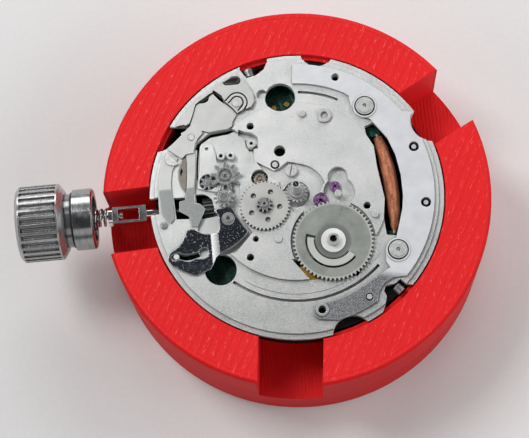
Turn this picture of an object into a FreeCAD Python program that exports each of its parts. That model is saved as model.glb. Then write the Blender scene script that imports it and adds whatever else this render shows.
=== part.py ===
"""Watch movement holder: a printed ring with a loaded quartz movement, its stem and its crown.

Frame: millimetres, +Z up, origin at the centre of the ring's underside.
The movement's axis is the Z axis, and the winding stem points along -X.
"""
import FreeCAD
import Part
import math
import os
import re
import Sketcher

DIMENSIONS = {
    # printed ring
    "ring_radius": (18.25, "outer radius of the printed ring"),
    "ring_height": (12.0, "height of the ring"),
    "ring_chamfer": (0.25, "edge break of the ring's outer corners"),
    "seat_radius": (13.95, "recess that takes the movement's flange"),
    "seat_level": (11.5, "floor of the flange recess"),
    "pocket_radius": (13.55, "pocket that takes the movement's body"),
    "ledge_level": (7.2, "ledge under the movement"),
    "base_opening_radius": (11.5, "opening through the base, for pushing the movement out"),
    "slot_floor": (5.4, "floor of the three side slots"),
    "slot_width": (6.0, "width of the side slots"),
    "slot_inner": (12.6, "inner end of the slot cuts, short of the base opening"),
    "slot_outer": (22.0, "outer end of the slot cuts"),
    # movement levels
    "body_radius": (13.35, "radius of the plastic movement body"),
    "body_bottom": (7.6, "underside of the plastic body"),
    "plate_bottom": (11.6, "underside of the main plate"),
    "flange_radius": (13.8, "casing diameter 27.6"),
    "flange_top": (12.05, "top of the flange"),
    "step_radius": (13.3, "edge of the main plate's raised face"),
    "plate_top": (12.3, "top of the main plate's outer ring"),
    "plateau_radius": (8.6, "raised centre of the main plate"),
    "plateau_top": (12.6, "top of the raised centre"),
    "leaf_top": (12.58, "top of the stamped parts that lie on the outer ring"),
    "plateau_y": (0.28, "the raised centre sits a little off the axis"),
    "groove_depth": (0.35, "depth of the ring grooves"),
    "recess_depth": (0.35, "depth of the recess in the raised centre"),
    "pit_level": (12.3, "floor of the counter wheel's pit"),
    "bay_level": (11.98, "floor of the recess under the setting works and of the jewel pocket"),
    "deep_level": (11.75, "floor of the deep pockets in the plate"),
    "seat_depth": (0.15, "depth of the jewels' seats below their pocket"),
    "strip_top": (12.5, "top of the side strip"),
    "lever_top": (12.44, "top of the yoke, which slides under the cover leaf"),
    "spring_top": (12.4, "top of the yoke's leaf spring"),
    "fold_rise": (0.18, "rise of the setting-lever spring across its fold"),
    "spring_leaf": (0.18, "thickness of the setting-lever spring"),
    "clamp_top": (12.73, "top of the embossed clamp"),
    "screw_top": (12.8, "top of the guard plate's screws"),
    "screw_head": (0.85, "radius of the guard plate's screw heads"),
    "screw_well": (0.98, "radius of the wells round those heads"),
    "casing_screw_radius": (0.4, "screws that lie in the rim"),
    "cavity_radius": (12.2, "inside of the plastic body"),
    "cavity_floor": (9.9, "floor of the plastic body's cavity"),
    "board_top": (10.3, "top of the circuit board"),
    "cell_radius": (4.75, "button cell, 9.5 mm size"),
    "cell_top": (9.3, "top of the button cell"),
    # wheels
    "second_radius": (0.13, "arbor inside the cannon pinion's tube"),
    "post_radius": (0.38, "tube of the cannon pinion"),
    "post_bore": (0.27, "bore of the cannon pinion's tube"),
    "wheel_level": (12.66, "underside of the wheels over the raised centre"),
    "wheel_thickness": (0.26, "thickness of a wheel's rim"),
    "train_module": (0.1146, "tooth size of the cannon pinion and the minute wheel"),
    "cannon_teeth": (16, "teeth of the cannon pinion"),
    "minute_teeth": (40, "teeth of the minute wheel"),
    "minute_x": (-3.05, "centre of the minute wheel"),
    "minute_y": (-1.0, "centre of the minute wheel"),
    "counter_x": (3.0, "centre of the plastic counter wheel"),
    "counter_y": (-4.9, "centre of the plastic counter wheel"),
    "counter_radius": (3.8, "tip radius of the counter wheel"),
    "counter_recess": (3.98, "recess round the counter wheel"),
    "hand_post_top": (15.7, "top of the centre post that carries the hands"),
    "counter_post_top": (13.5, "top of the counter wheel's pipe"),
    "counter_pipe": (0.56, "radius of the counter wheel's pipe"),
    "counter_boss": (1.15, "radius of the counter wheel's white hub"),
    # stem and crown, measured outward from the movement's axis
    "stem_level": (10.2, "height of the stem's axis"),
    "stem_radius": (0.5, "winding stem"),
    "coupler_start": (14.3, "inner end of the stem's coupler"),
    "coupler_end": (17.5, "outer end of the coupler's frame"),
    "collar_end": (17.9, "outer face of the spring collar"),
    "collar_radius": (0.95, "collar that the crown spring rests on"),
    "spring_radius": (0.9, "outer radius of the crown spring"),
    "spring_wire": (0.28, "wire of the crown spring"),
    "spring_turns": (5, "turns of the crown spring"),
    "spring_end": (20.6, "outer end of the crown spring, inside the sleeve"),
    "sleeve_start": (19.2, "mouth of the crown sleeve"),
    "sleeve_end": (21.1, "outer end of the crown sleeve"),
    "sleeve_radius": (2.9, "outer radius of the sleeve"),
    "sleeve_bore": (2.2, "bore of the sleeve"),
    "gasket_end": (21.3, "outer face of the gasket"),
    "neck_radius": (2.55, "neck between gasket and crown"),
    "neck_end": (21.9, "outer end of the neck"),
    "crown_start": (22.4, "where the crown reaches its full radius"),
    "crown_end": (26.1, "where the crown's edge starts to round off"),
    "crown_face": (26.6, "outermost point of the domed crown"),
    "crown_radius": (3.62, "radius over the knurls"),
    "knurl_radius": (0.24, "radius of one knurl flute"),
    "knurl_margin": (0.15, "plain band at each end of the flutes"),
    "knurl_count": (30, "flutes round the crown"),
    "rod_radius": (0.2, "rod from the crown into the coupler's window"),
}


doc = FreeCAD.newDocument("WatchMovementHolder")
sheet = doc.addObject("Spreadsheet::Sheet", "Sizes")
parts = []


def fill_sheet():
    for row, (alias, (number, meaning)) in enumerate(DIMENSIONS.items(), start=1):
        sheet.set(f"A{row}", meaning)
        sheet.set(f"B{row}", str(number))
        sheet.setAlias(f"B{row}", alias)
    doc.recompute()


def formula(text):
    """An expression over the sheet: every word in the text is an alias."""
    return re.sub(r"[a-z][a-z0-9_]*", r"Sizes.\g<0>", str(text))


def size(text):
    """The present value of a formula, for shapes that are computed in code."""
    result = sheet.evalExpression(formula(text))
    return float(getattr(result, "Value", result))


def bind(thing, **properties):
    """Tie properties to the sheet; a double underscore stands for a dot."""
    for name, text in properties.items():
        thing.setExpression(name.replace("__", "."), formula(text))


def place(thing, x=0, y=0, z=0):
    bind(thing, Placement__Base__x=x, Placement__Base__y=y, Placement__Base__z=z)
    return thing


def finish(thing, label):
    """Name a sub-part and list it for export."""
    thing.Label = label
    parts.append(thing)
    return thing


# ---------------------------------------------------------------- primitives


def cylinder(name, radius, bottom, top, x=0, y=0):
    thing = doc.addObject("Part::Cylinder", name)
    bind(thing, Radius=radius, Height=f"({top}) - ({bottom})")
    return place(thing, x, y, bottom)


def box(name, x, y, bottom, top):
    """A block from the ranges x = (low, high) and y = (low, high)."""
    thing = doc.addObject("Part::Box", name)
    bind(thing, Length=f"({x[1]}) - ({x[0]})", Width=f"({y[1]}) - ({y[0]})")
    bind(thing, Height=f"({top}) - ({bottom})")
    return place(thing, x[0], y[0], bottom)


def fuse(name, pieces):
    thing = doc.addObject("Part::MultiFuse", name)
    thing.Shapes = pieces
    thing.Refine = True
    return thing


def cut(name, base, tools):
    thing = doc.addObject("Part::Cut", name)
    thing.Base = base
    thing.Tool = tools[0] if len(tools) == 1 else fuse(f"{name}_tools", tools)
    return thing


def discs(name, radius, bottom, top, centres):
    """Equal upright cylinders at several places, as one list."""
    found = []
    for number, (x, y) in enumerate(centres, start=1):
        found.append(cylinder(f"{name}_{number}", radius, bottom, top, x, y))
    return found


# ------------------------------------------------------------------ outlines


def polar(radius, degrees, centre=(0, 0)):
    angle = math.radians(degrees)
    return (centre[0] + radius * math.cos(angle), centre[1] + radius * math.sin(angle))


def arc(radius, start, end, centre=(0, 0)):
    """Start, middle and end point of an arc, angles in degrees."""
    middle = 0.5 * (start + end)
    return tuple(polar(radius, angle, centre) for angle in (start, middle, end))


def outline_edges(spans):
    """Closed outline from corner points (x, y) and arcs, joined by straight lines."""
    edges = []
    corners = [span if isinstance(span[0], tuple) else (span,) for span in spans]
    for span, following in zip(corners, corners[1:] + corners[:1]):
        points = [FreeCAD.Vector(x, y, 0) for x, y in span]
        onward = FreeCAD.Vector(*following[0], 0)
        if len(points) == 3:
            edges.append(Part.Arc(*points))
        if points[-1].distanceToPoint(onward) > 1e-6:
            edges.append(Part.LineSegment(points[-1], onward))
    return edges


def stamping(name, spans, bottom, top):
    """A flat piece: an outline sketch pushed up from one level to another."""
    sketch = doc.addObject("Sketcher::SketchObject", f"{name}_outline")
    for edge in outline_edges(spans):
        sketch.addGeometry(edge)
    place(sketch, 0, 0, bottom)
    thing = doc.addObject("Part::Extrusion", name)
    thing.Base = sketch
    thing.DirMode = "Custom"
    thing.Dir = FreeCAD.Vector(0, 0, 1)
    thing.Solid = True
    bind(thing, LengthFwd=f"({top}) - ({bottom})")
    return thing


def band(radius, width, start, end, centre=(0, 0)):
    """Outline of a strip that follows an arc."""
    outer = radius + 0.5 * width
    inner = radius - 0.5 * width
    return [arc(outer, start, end, centre), arc(inner, end, start, centre)]


def toothed_face(teeth, module, tooth_height=1.7):
    """Face of a spur wheel with straight flanks and a little backlash."""
    pitch = 0.5 * module * teeth
    tip = pitch + 0.8 * module
    root = tip - tooth_height * module
    step = 360 / teeth
    corners = []
    for tooth in range(teeth):
        centre = tooth * step
        for radius, share in ((root, -0.33), (tip, -0.12), (tip, 0.12), (root, 0.33)):
            corners.append(FreeCAD.Vector(*polar(radius, centre + share * step), 0))
    corners.append(corners[0])
    return Part.Face(Part.makePolygon(corners))


def toothed_disc(name, teeth, module, bottom, thickness, turn=0, tooth_height=1.7):
    """Spur wheel centred on its own origin; the sheet sets its sizes in code."""
    face = toothed_face(int(size(teeth)), size(module), tooth_height)
    thing = doc.addObject("Part::Feature", name)
    thing.Shape = face.extrude(FreeCAD.Vector(0, 0, size(thickness)))
    level = FreeCAD.Vector(0, 0, size(bottom))
    thing.Placement = FreeCAD.Placement(level, FreeCAD.Rotation(FreeCAD.Vector(0, 0, 1), turn))
    return thing


# --------------------------------------------------------------- PartDesign


def new_body(label):
    body = doc.addObject("PartDesign::Body", label)
    return finish(body, label)


def origin_plane(body, role):
    return next(plane for plane in body.Origin.OriginFeatures if plane.Role == role)


def bound_sketch(body, name, role, corners):
    """Closed polygon whose corners are formulas over the sheet."""
    sketch = body.newObject("Sketcher::SketchObject", name)
    sketch.AttachmentSupport = (origin_plane(body, role), [""])
    sketch.MapMode = "FlatFace"
    points = [FreeCAD.Vector(size(x), size(y), 0) for x, y in corners]
    for start, end in zip(points, points[1:] + points[:1]):
        sketch.addGeometry(Part.LineSegment(start, end))
    for index in range(len(points)):
        following = (index + 1) % len(points)
        sketch.addConstraint(Sketcher.Constraint("Coincident", index, 2, following, 1))
    for index, (x, y) in enumerate(corners):
        for kind, axis, text in (("DistanceX", -2, x), ("DistanceY", -1, y)):
            number = size(text)
            if abs(number) < 1e-9:
                sketch.addConstraint(Sketcher.Constraint("PointOnObject", index, 1, axis))
                continue
            row = sketch.addConstraint(Sketcher.Constraint(kind, -1, 1, index, 1, number))
            sketch.setExpression(f"Constraints[{row}]", formula(text))
    return sketch


def turned(body, corners, name="Profile"):
    """Revolve a half profile of (radius, height) corners round the body's Z axis."""
    sketch = bound_sketch(body, name, "XZ_Plane", corners)
    feature = body.newObject("PartDesign::Revolution", f"{name}_turned")
    feature.Profile = sketch
    feature.ReferenceAxis = (sketch, ["V_Axis"])
    feature.Angle = 360
    body.Tip = feature
    return feature


def lay_along_stem(thing):
    """Turn a piece from its own Z axis onto the stem's axis, outward along -X."""
    outward = FreeCAD.Rotation(FreeCAD.Vector(0, 1, 0), -90)
    thing.Placement = FreeCAD.Placement(FreeCAD.Vector(0, 0, size("stem_level")), outward)
    bind(thing, Placement__Base__z="stem_level")
    return thing


# -------------------------------------------------------------- printed ring


def holder_ring():
    body = new_body("holder_ring")
    turned(
        body,
        [
            ("base_opening_radius", 0),
            ("ring_radius - ring_chamfer", 0),
            ("ring_radius", "ring_chamfer"),
            ("ring_radius", "ring_height - ring_chamfer"),
            ("ring_radius - ring_chamfer", "ring_height"),
            ("seat_radius", "ring_height"),
            ("seat_radius", "seat_level"),
            ("pocket_radius", "seat_level"),
            ("pocket_radius", "ledge_level"),
            ("base_opening_radius", "ledge_level"),
        ],
    )
    slots = {"crown": (182.3, 0.31), "upper": (28.3, -0.1), "lower": (263.5, -0.2)}
    for name, (direction, sideways) in slots.items():
        low = f"{sideways} - slot_width / 2"
        high = f"{sideways} + slot_width / 2"
        corners = [("slot_inner", low), ("slot_outer", low), ("slot_outer", high), ("slot_inner", high)]
        sketch = bound_sketch(body, f"{name}_slot", "XY_Plane", corners)
        turn = FreeCAD.Rotation(FreeCAD.Vector(0, 0, 1), direction)
        sketch.AttachmentOffset = FreeCAD.Placement(FreeCAD.Vector(0, 0, size("slot_floor")), turn)
        bind(sketch, AttachmentOffset__Base__z="slot_floor")
        pocket = body.newObject("PartDesign::Pocket", f"{name}_slot_cut")
        pocket.Profile = sketch
        pocket.Type = "ThroughAll"
        pocket.Reversed = True
        body.Tip = pocket


# ----------------------------------------------------- plates of the movement

# Places that several parts share, in millimetres from the movement's axis.
YOKE_PIN = (-9.4, 6.4)
GUARD_PINS = [(11.4, 3.5), (11.95, -2.0)]
GUARD_SCREWS = [(7.2, 7.9), (8.9, -6.3)]
CELL = (5.0, 4.6)
LARGE_JEWEL = (2.2, -0.8)
SMALL_JEWEL = (3.65, 0.4)
CENTRE_SCREW = (-0.3, 2.25)
CENTRE_RIVET = (-1.75, 2.95)
HAND_TUBE = (-3.8, 5.15)
IDLER = (-8.2, 1.95)
STAR = (-6.5, 2.3)
SETTING = (-6.8, 0.15)
TRAIN = (-3.3, 1.83)
CLAMP_RIVET = (-4.8, 9.4)
CASING_SCREWS = [(-3.45, 12.4, 104), (8.6, -9.9, -50)]
LOW_PIN = (5.8, -10.5)
EYELET = (1.35, -11.3)

# Cut in the upper left of the rim, through the plate and the top of the plastic body.
UPPER_LEFT_NOTCH = [
    (-11.3, 7.75), (-9.9, 7.6), (-9.4, 7.7), (-9.7, 7.25), (-10.35, 7.0), (-10.3, 6.7),
    (-11.9, 5.5), (-12.8, 5.4), (-15, 7), (-12.5, 9.5),
]
RIGHT_SCALLOP = (13.3, 5.9)

# Gap beside the yoke's leaf spring, cut through spring and plate.
SPRING_GAP = [(-10.5, 3.55), (-10.72, 3.2), (-10.72, 2.8), (-10.6, 2.75), (-10.45, 3.2)]

# Cutting levels that pass right through the main plate and everything on it.
UNDER = "plate_bottom - 1"
ABOVE = "plateau_top + 1"


def rim_notches():
    """Cut-outs in the edge of the flange."""
    scallops = [(1.6, 3.2, 14.0), (1.9, *RIGHT_SCALLOP), (1.9, 4.0, -13.9)]
    tools = []
    for number, (radius, x, y) in enumerate(scallops, start=1):
        tools.append(cylinder(f"scallop_{number}", radius, UNDER, ABOVE, x, y))
    top = [(-3.9, 12.1), (-2.9, 12.0), (-2.0, 12.6), (-1.6, 13.4), (-1.6, 14.5), (-4.2, 14.5), (-4.3, 12.9)]
    lower_right = [
        (9.9, -9.6), (9.3, -9.5), (8.8, -9.0), (8.3, -9.4), (7.4, -9.5), (7.2, -10.0),
        (7.4, -10.5), (7.2, -11.3), (6.9, -11.9), (7.5, -13.5), (11.5, -10.5),
    ]
    tools.append(stamping("notch_upper_left", UPPER_LEFT_NOTCH, UNDER, ABOVE))
    tools.append(stamping("notch_top", top, UNDER, ABOVE))
    tools.append(stamping("notch_lower_right", lower_right, UNDER, ABOVE))
    tools.append(box("notch_stem", (-14.5, -12.95), (-0.75, 0.9), UNDER, ABOVE))
    return tools


def plate_windows():
    """Openings right through the main plate."""
    coil_window = [
        (7.0, 6.0), (7.05, 5.1), (7.65, 3.9), (7.75, 1.9), (8.0, -0.1), (8.15, -1.3), (7.9, -3.0),
        (8.0, -4.7), (8.95, -4.9), (9.5, -3.6), (10.1, -1.0), (10.1, 1.0), (9.8, 3.0), (9.2, 4.7),
        (8.2, 6.0), (7.8, 6.3),
    ]
    clutch = [(-11.5, 0.7), (-11.4, -1.4), (-10.1, -1.5), (-10.4, 0.65)]
    lever = [
        (-9.45, 0.9), (-8.75, 0.9), (-8.3, 0.7), (-7.95, 0.3), (-7.75, -0.7), (-7.45, -1.35),
        (-8.8, -1.5), (-9.35, -1.4),
    ]
    counter = [(-1.0, -6.3), (0.5, -8.35), (5.0, -8.35), (5.5, -7.6), (5.2, -6.3)]
    behind_spring = [
        (-12.1, -4.95), (-11.9, -4.72), (-11.4, -4.72), (-10.9, -4.88), (-9.6, -4.75), (-9.4, -5.2),
        (-10.4, -5.45), (-11.0, -5.42), (-11.5, -5.37), (-12.0, -5.25),
    ]
    beside_yoke = [
        (-8.82, 5.6), (-9.0, 4.9), (-9.11, 4.1), (-9.19, 3.2), (-9.24, 2.3), (-9.1, 2.3), (-9.03, 3.2),
        (-8.95, 4.1), (-8.84, 4.85), (-8.68, 5.5),
    ]
    under_cover = [
        (-9.3, 5.1), (-8.95, 5.85), (-7.9, 6.6), (-7.6, 6.75), (-5.6, 6.95), (-5.3, 6.75), (-5.9, 6.55),
        (-7.6, 6.35), (-8.5, 5.85), (-8.95, 5.2),
    ]
    tools = [
        cylinder("window_upper", 1.45, UNDER, ABOVE, -0.7, 9.6),
        cylinder("window_lower", 1.5, UNDER, ABOVE, -7.65, -6.6),
        cylinder("window_train", 0.8, UNDER, ABOVE, *TRAIN),
        cylinder("post_hole", 0.55, UNDER, ABOVE, -1.2, 4.25),
        cylinder("centre_rivet_hole", 0.43, UNDER, ABOVE, *CENTRE_RIVET),
        stamping("window_coil", coil_window, UNDER, ABOVE),
        stamping("window_clutch", clutch, UNDER, ABOVE),
        stamping("window_lever", lever, UNDER, ABOVE),
        stamping("window_counter", counter, UNDER, ABOVE),
        stamping("window_behind_spring", behind_spring, UNDER, ABOVE),
        stamping("window_yoke_gap", SPRING_GAP, UNDER, ABOVE),
        stamping("window_beside_yoke", beside_yoke, UNDER, ABOVE),
        stamping("window_under_cover", under_cover, UNDER, ABOVE),
    ]
    tools += discs("pin_hole", 0.48, UNDER, ABOVE, GUARD_PINS)
    tools += discs("wide_hole", 0.35, UNDER, ABOVE, [(6.45, -1.8), (-4.8, -5.75), (-3.75, 6.95), EYELET])
    tools += discs("narrow_hole", 0.28, UNDER, ABOVE, [(-4.15, -4.05), (4.7, 11.05)])
    return tools


def plate_recesses():
    """Shallow cuts in the main plate's faces."""
    ring_floor = "plate_top - groove_depth"
    face_floor = "plateau_top - recess_depth"
    kidney = [
        (-3.5, 3.4), (-1.9, 2.4), (-1.3, 2.65), (-0.6, 3.15), (0.1, 3.0),
        ((0.3, 2.9), (1.9, 2.15), (2.75, 0.85)),
        (2.4, 0.25), (1.5, -1.3), (0.6, -1.8), (-0.4, -1.8), (-1.0, -1.2), (-1.6, 1.4), (-2.5, 1.8),
    ]
    keyless_bay = [
        (-8.95, 5.3), (-8.55, 5.95), (-7.6, 6.5), (-5.9, 6.7), (-5.3, 6.8), (-4.3, 6.0), (-3.65, 4.9),
        (-3.6, 3.4), (-4.2, 2.4), (-5.2, 1.2), (-5.3, -1.9), (-4.4, -3.4), (-6.1, -5.2), (-9.5, -5.2),
        (-9.5, 1.1), (-9.3, 2.7), (-9.1, 4.1),
    ]
    tube_pocket = [
        (-4.9, 6.75), (-4.3, 6.45), (-3.7, 6.3), (-3.2, 5.9), (-3.1, 5.4), (-3.2, 4.7), (-4.05, 4.65),
        (-4.35, 5.2), (-4.4, 5.95), (-5.0, 6.35),
    ]
    gap_left = [(-7.3, 10.5), (-7.3, 10.2), (-7.45, 9.8), (-7.9, 9.65), (-8.45, 9.8), (-7.85, 10.15)]
    gap_right = [(-7.0, 10.85), (-6.65, 10.6), (-6.2, 10.2), (-5.95, 9.6), (-6.25, 9.55), (-6.9, 10.3)]
    return [
        cylinder("counter_pit", "counter_recess", "pit_level", ABOVE, "counter_x", "counter_y"),
        cylinder("centre_ring", 1.25, "bay_level", ABOVE),
        cylinder("jewel_pocket", 1.5, "bay_level", ABOVE, 4.0, -0.25),
        cylinder("jewel_pocket_upper", 0.95, "bay_level", ABOVE, 4.0, 1.25),
        cylinder("pocket_upper", 0.5, "deep_level", ABOVE, -2.4, 10.1),
        cylinder("low_pin_pocket", 0.38, "deep_level", ABOVE, *LOW_PIN),
        cylinder("idler_pocket", 0.8, "deep_level", ABOVE, *IDLER),
        stamping("centre_recess", kidney, face_floor, ABOVE),
        stamping("bay", keyless_bay, "bay_level", ABOVE),
        stamping("tube_pocket", tube_pocket, "deep_level", ABOVE),
        stamping("gap_left", gap_left, UNDER, ABOVE),
        stamping("gap_right", gap_right, UNDER, ABOVE),
        stamping("groove_top", band(10.05, 0.28, 62, 84), ring_floor, ABOVE),
        stamping("groove_bottom", band(10.25, 0.28, 230, 313), ring_floor, ABOVE),
    ]


def upright_slab(name, reach, half_width, bottom, top, x, y, heading):
    """A block that runs along a heading, from reach[0] to reach[1] past the point (x, y)."""
    slab = doc.addObject("Part::Box", name)
    slab.Length = reach[1] - reach[0]
    slab.Width = 2 * half_width
    bind(slab, Height=f"({top}) - ({bottom})")
    spin = FreeCAD.Rotation(FreeCAD.Vector(0, 0, 1), heading)
    corner = spin.multVec(FreeCAD.Vector(reach[0], -half_width, 0))
    slab.Placement = FreeCAD.Placement(FreeCAD.Vector(x, y, size(bottom)) + corner, spin)
    bind(slab, Placement__Base__z=bottom)
    return slab


def main_plate():
    levels = [
        cylinder("plate_flange", "flange_radius", "plate_bottom", "flange_top"),
        cylinder("plate_face", "step_radius", "plate_bottom", "plate_top"),
        cylinder("plate_centre", "plateau_radius", "plate_bottom", "plateau_top", 0, "plateau_y"),
        stamping("plate_step", band(9.1, 1.0, 235, 318), "plate_bottom", "plate_top + 0.06"),
    ]
    blank = fuse("plate_blank", levels)
    seats = [
        cylinder("large_jewel_seat", 0.66, "bay_level - seat_depth", ABOVE, *LARGE_JEWEL),
        cylinder("small_jewel_seat", 0.49, "bay_level - seat_depth", ABOVE, *SMALL_JEWEL),
    ]
    for number, (x, y, heading) in enumerate(CASING_SCREWS, start=1):
        seats.append(upright_slab(f"casing_seat_{number}", (-0.45, 2), 0.42, UNDER, ABOVE, x, y, heading))
    finish(cut("plate", blank, rim_notches() + plate_windows() + plate_recesses() + seats), "main_plate")


def movement_body():
    notch_top = [(-2.85, 12.3), (-2.0, 12.6), (-1.6, 13.4), (-1.6, 14.5), (-2.85, 14.5)]
    shell = cylinder("body_blank", "body_radius", "body_bottom", "plate_bottom")
    stem_bore = doc.addObject("Part::Cylinder", "stem_bore")
    bind(stem_bore, Radius="stem_radius + 0.1", Height="6")
    stem_bore.Placement = FreeCAD.Placement(
        FreeCAD.Vector(-15, 0, size("stem_level")), FreeCAD.Rotation(FreeCAD.Vector(0, 1, 0), 90)
    )
    bind(stem_bore, Placement__Base__z="stem_level")
    cuts = [
        cylinder("cavity", "cavity_radius", "cavity_floor", "plate_bottom + 1"),
        cylinder("cell_well", "cell_radius + 0.1", "body_bottom - 1", "cell_top", *CELL),
        box("clutch_bay", (-12.1, -7.4), (-1.3, 1.3), "stem_level - 1.2", "plate_bottom + 1"),
        box("stem_opening", (-14, -12), (-0.6, 0.6), "stem_level", "plate_bottom + 1"),
        stem_bore,
        stamping("body_notch_left", UPPER_LEFT_NOTCH, "cavity_floor", "plate_bottom + 1"),
        stamping("body_notch_top", notch_top, "cavity_floor", "plate_bottom + 1"),
        cylinder("body_scallop", 1.9, "cavity_floor", "plate_bottom + 1", *RIGHT_SCALLOP),
    ]
    hollow = cut("body", shell, cuts)
    bearing = cylinder("counter_bearing", 4.6, "cavity_floor - 0.1", "plate_bottom - 0.4",
                       "counter_x", "counter_y")
    finish(fuse("body_with_bearing", [hollow, bearing]), "movement_body")


def back_cover():
    disc = cylinder("cover_blank", "body_radius - 0.35", "ledge_level", "body_bottom")
    opening = cylinder("cell_opening", "cell_radius + 0.25", "ledge_level - 1", "body_bottom + 1", *CELL)
    finish(cut("cover", disc, [opening]), "back_cover")


def battery():
    cell = cylinder("cell", "cell_radius", "ledge_level", "cell_top", *CELL)
    edge = doc.addObject("Part::Chamfer", "cell_edges")
    doc.recompute()
    edge.Base = cell
    edge.Edges = [(number, 0.25, 0.25) for number in (1, 3)]
    finish(edge, "battery")


def circuit_board():
    disc = cylinder("board_blank", "cavity_radius - 0.1", "cavity_floor", "board_top")
    cuts = [
        box("board_bay", (-13, -7.3), (-1.6, 1.6), "cavity_floor - 1", "board_top + 1"),
        box("board_coil_gap", (6.9, 13), (-4.4, 5.2), "cavity_floor - 1", "board_top + 1"),
        cylinder("board_bearing_gap", 4.7, "cavity_floor - 1", "board_top + 1", "counter_x", "counter_y"),
    ]
    solder = cylinder("board_solder", 0.25, "board_top - 0.1", "board_top + 0.1", -8.2, -6.75)
    finish(fuse("board_assembly", [cut("board", disc, cuts), solder]), "circuit_board")
    pads = discs("pad", 0.24, "board_top", "board_top + 0.08", [(-1.35, 9.25), (-0.1, 9.55)])
    finish(fuse("pad_pair", pads), "board_pads")


# ---------------------------------------------------------------------- coil

COIL_BOW = 24.4
COIL_TILT = 4
COIL_CREST = (8.92, 0.45)
COIL_SWELL = [(-11.3, 0.2), (-9.6, 0.42), (-6.5, 0.6), (-2, 0.7), (3, 0.72), (7.5, 0.62), (10.9, 0.44)]


def coil_core_ring(name, radius, half_angle):
    """Part of a torus that follows the coil's gentle bow."""
    thing = doc.addObject("Part::Torus", name)
    thing.Radius1 = COIL_BOW
    thing.Radius2 = radius
    thing.Angle3 = 2 * half_angle
    turn = FreeCAD.Rotation(FreeCAD.Vector(0, 0, 1), COIL_TILT - half_angle)
    heart = FreeCAD.Vector(*polar(COIL_BOW, COIL_TILT), 0)
    thing.Placement = FreeCAD.Placement(FreeCAD.Vector(*COIL_CREST, size("plate_bottom")) - heart, turn)
    bind(thing, Placement__Base__z="plate_bottom")
    return thing


def coil_spindle():
    """Winding that swells towards its middle: circles across the bow, lofted together."""
    heart = FreeCAD.Vector(*COIL_CREST, 0) - FreeCAD.Vector(*polar(COIL_BOW, COIL_TILT), 0)
    sections = []
    for number, (angle, radius) in enumerate(COIL_SWELL, start=1):
        ring = doc.addObject("Part::Circle", f"coil_section_{number}")
        ring.Radius = radius
        middle = heart + FreeCAD.Vector(*polar(COIL_BOW, COIL_TILT + angle), size("plate_bottom"))
        tangent = FreeCAD.Vector(*polar(1, COIL_TILT + angle + 90), 0)
        ring.Placement = FreeCAD.Placement(middle, FreeCAD.Rotation(FreeCAD.Vector(0, 0, 1), tangent))
        bind(ring, Placement__Base__z="plate_bottom")
        sections.append(ring)
    loft = doc.addObject("Part::Loft", "coil_loft")
    loft.Sections = sections
    loft.Solid = True
    return loft


def coil():
    winding = cut("winding", coil_spindle(), [coil_core_ring("winding_bore", 0.17, 12)])
    finish(winding, "coil_winding")
    finish(coil_core_ring("core", 0.17, 11.6), "coil_core")
    ends = [
        box("terminal_upper", (7.2, 8.4), (5.2, 6.1), "plate_bottom - 0.6", "plate_bottom - 0.24"),
        box("terminal_lower", (8.1, 9.2), (-4.75, -4.1), "plate_bottom - 0.66", "plate_bottom - 0.32"),
    ]
    finish(fuse("terminals", ends), "coil_terminals")


def brass_contact():
    spans = [(-0.7, -6.85), (0.35, -8.7), (2.1, -8.7), (2.1, -6.85)]
    finish(stamping("contact", spans, "plate_bottom - 0.25", "plate_bottom"), "brass_contact")


# ---------------------------------------------------- stamped parts on the plate


def guard_plate():
    spans = [
        arc(12.75, 86.5, 33.5),
        arc(2.0, 150, 226, (13.3, 5.9)),
        arc(12.9, 18.5, -43),
        (8.2, -8.85), (7.3, -9.3), (6.7, -10.1), (6.5, -11.0),
        arc(12.7, -61, -77),
        arc(0.75, -110, -260, (1.35, -11.45)),
        arc(10.85, -80, -60),
        (8.0, -7.9), (7.7, -7.3), (7.75, -6.1), (8.85, -5.1), (9.3, -3.7), (9.7, -2.4),
        (9.9, -1.1), (9.9, 0.9), (9.6, 2.9), (9.0, 4.6), (8.0, 6.0), (7.6, 6.6), (7.0, 6.95),
        (6.4, 7.2), (5.9, 8.2), (5.8, 9.1),
        arc(10.85, 60.5, 87),
    ]
    low, high = "plate_top - 1", "screw_top + 1"
    solid = [stamping("guard_blank", spans, "plate_top", "leaf_top")]
    for number, (x, y) in enumerate(GUARD_SCREWS, start=1):
        solid.append(cylinder(f"guard_rim_{number}", 1.12, "plate_top", "leaf_top + 0.07", x, y))
    holes = discs("guard_well", "screw_well", low, high, GUARD_SCREWS)
    holes += discs("guard_pin_hole", 0.48, low, high, GUARD_PINS)
    holes += discs("guard_small_hole", 0.38, low, high, [(4.7, 11.05), LOW_PIN, EYELET])
    finish(cut("guard", fuse("guard_solid", solid), holes), "guard_plate")


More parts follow.
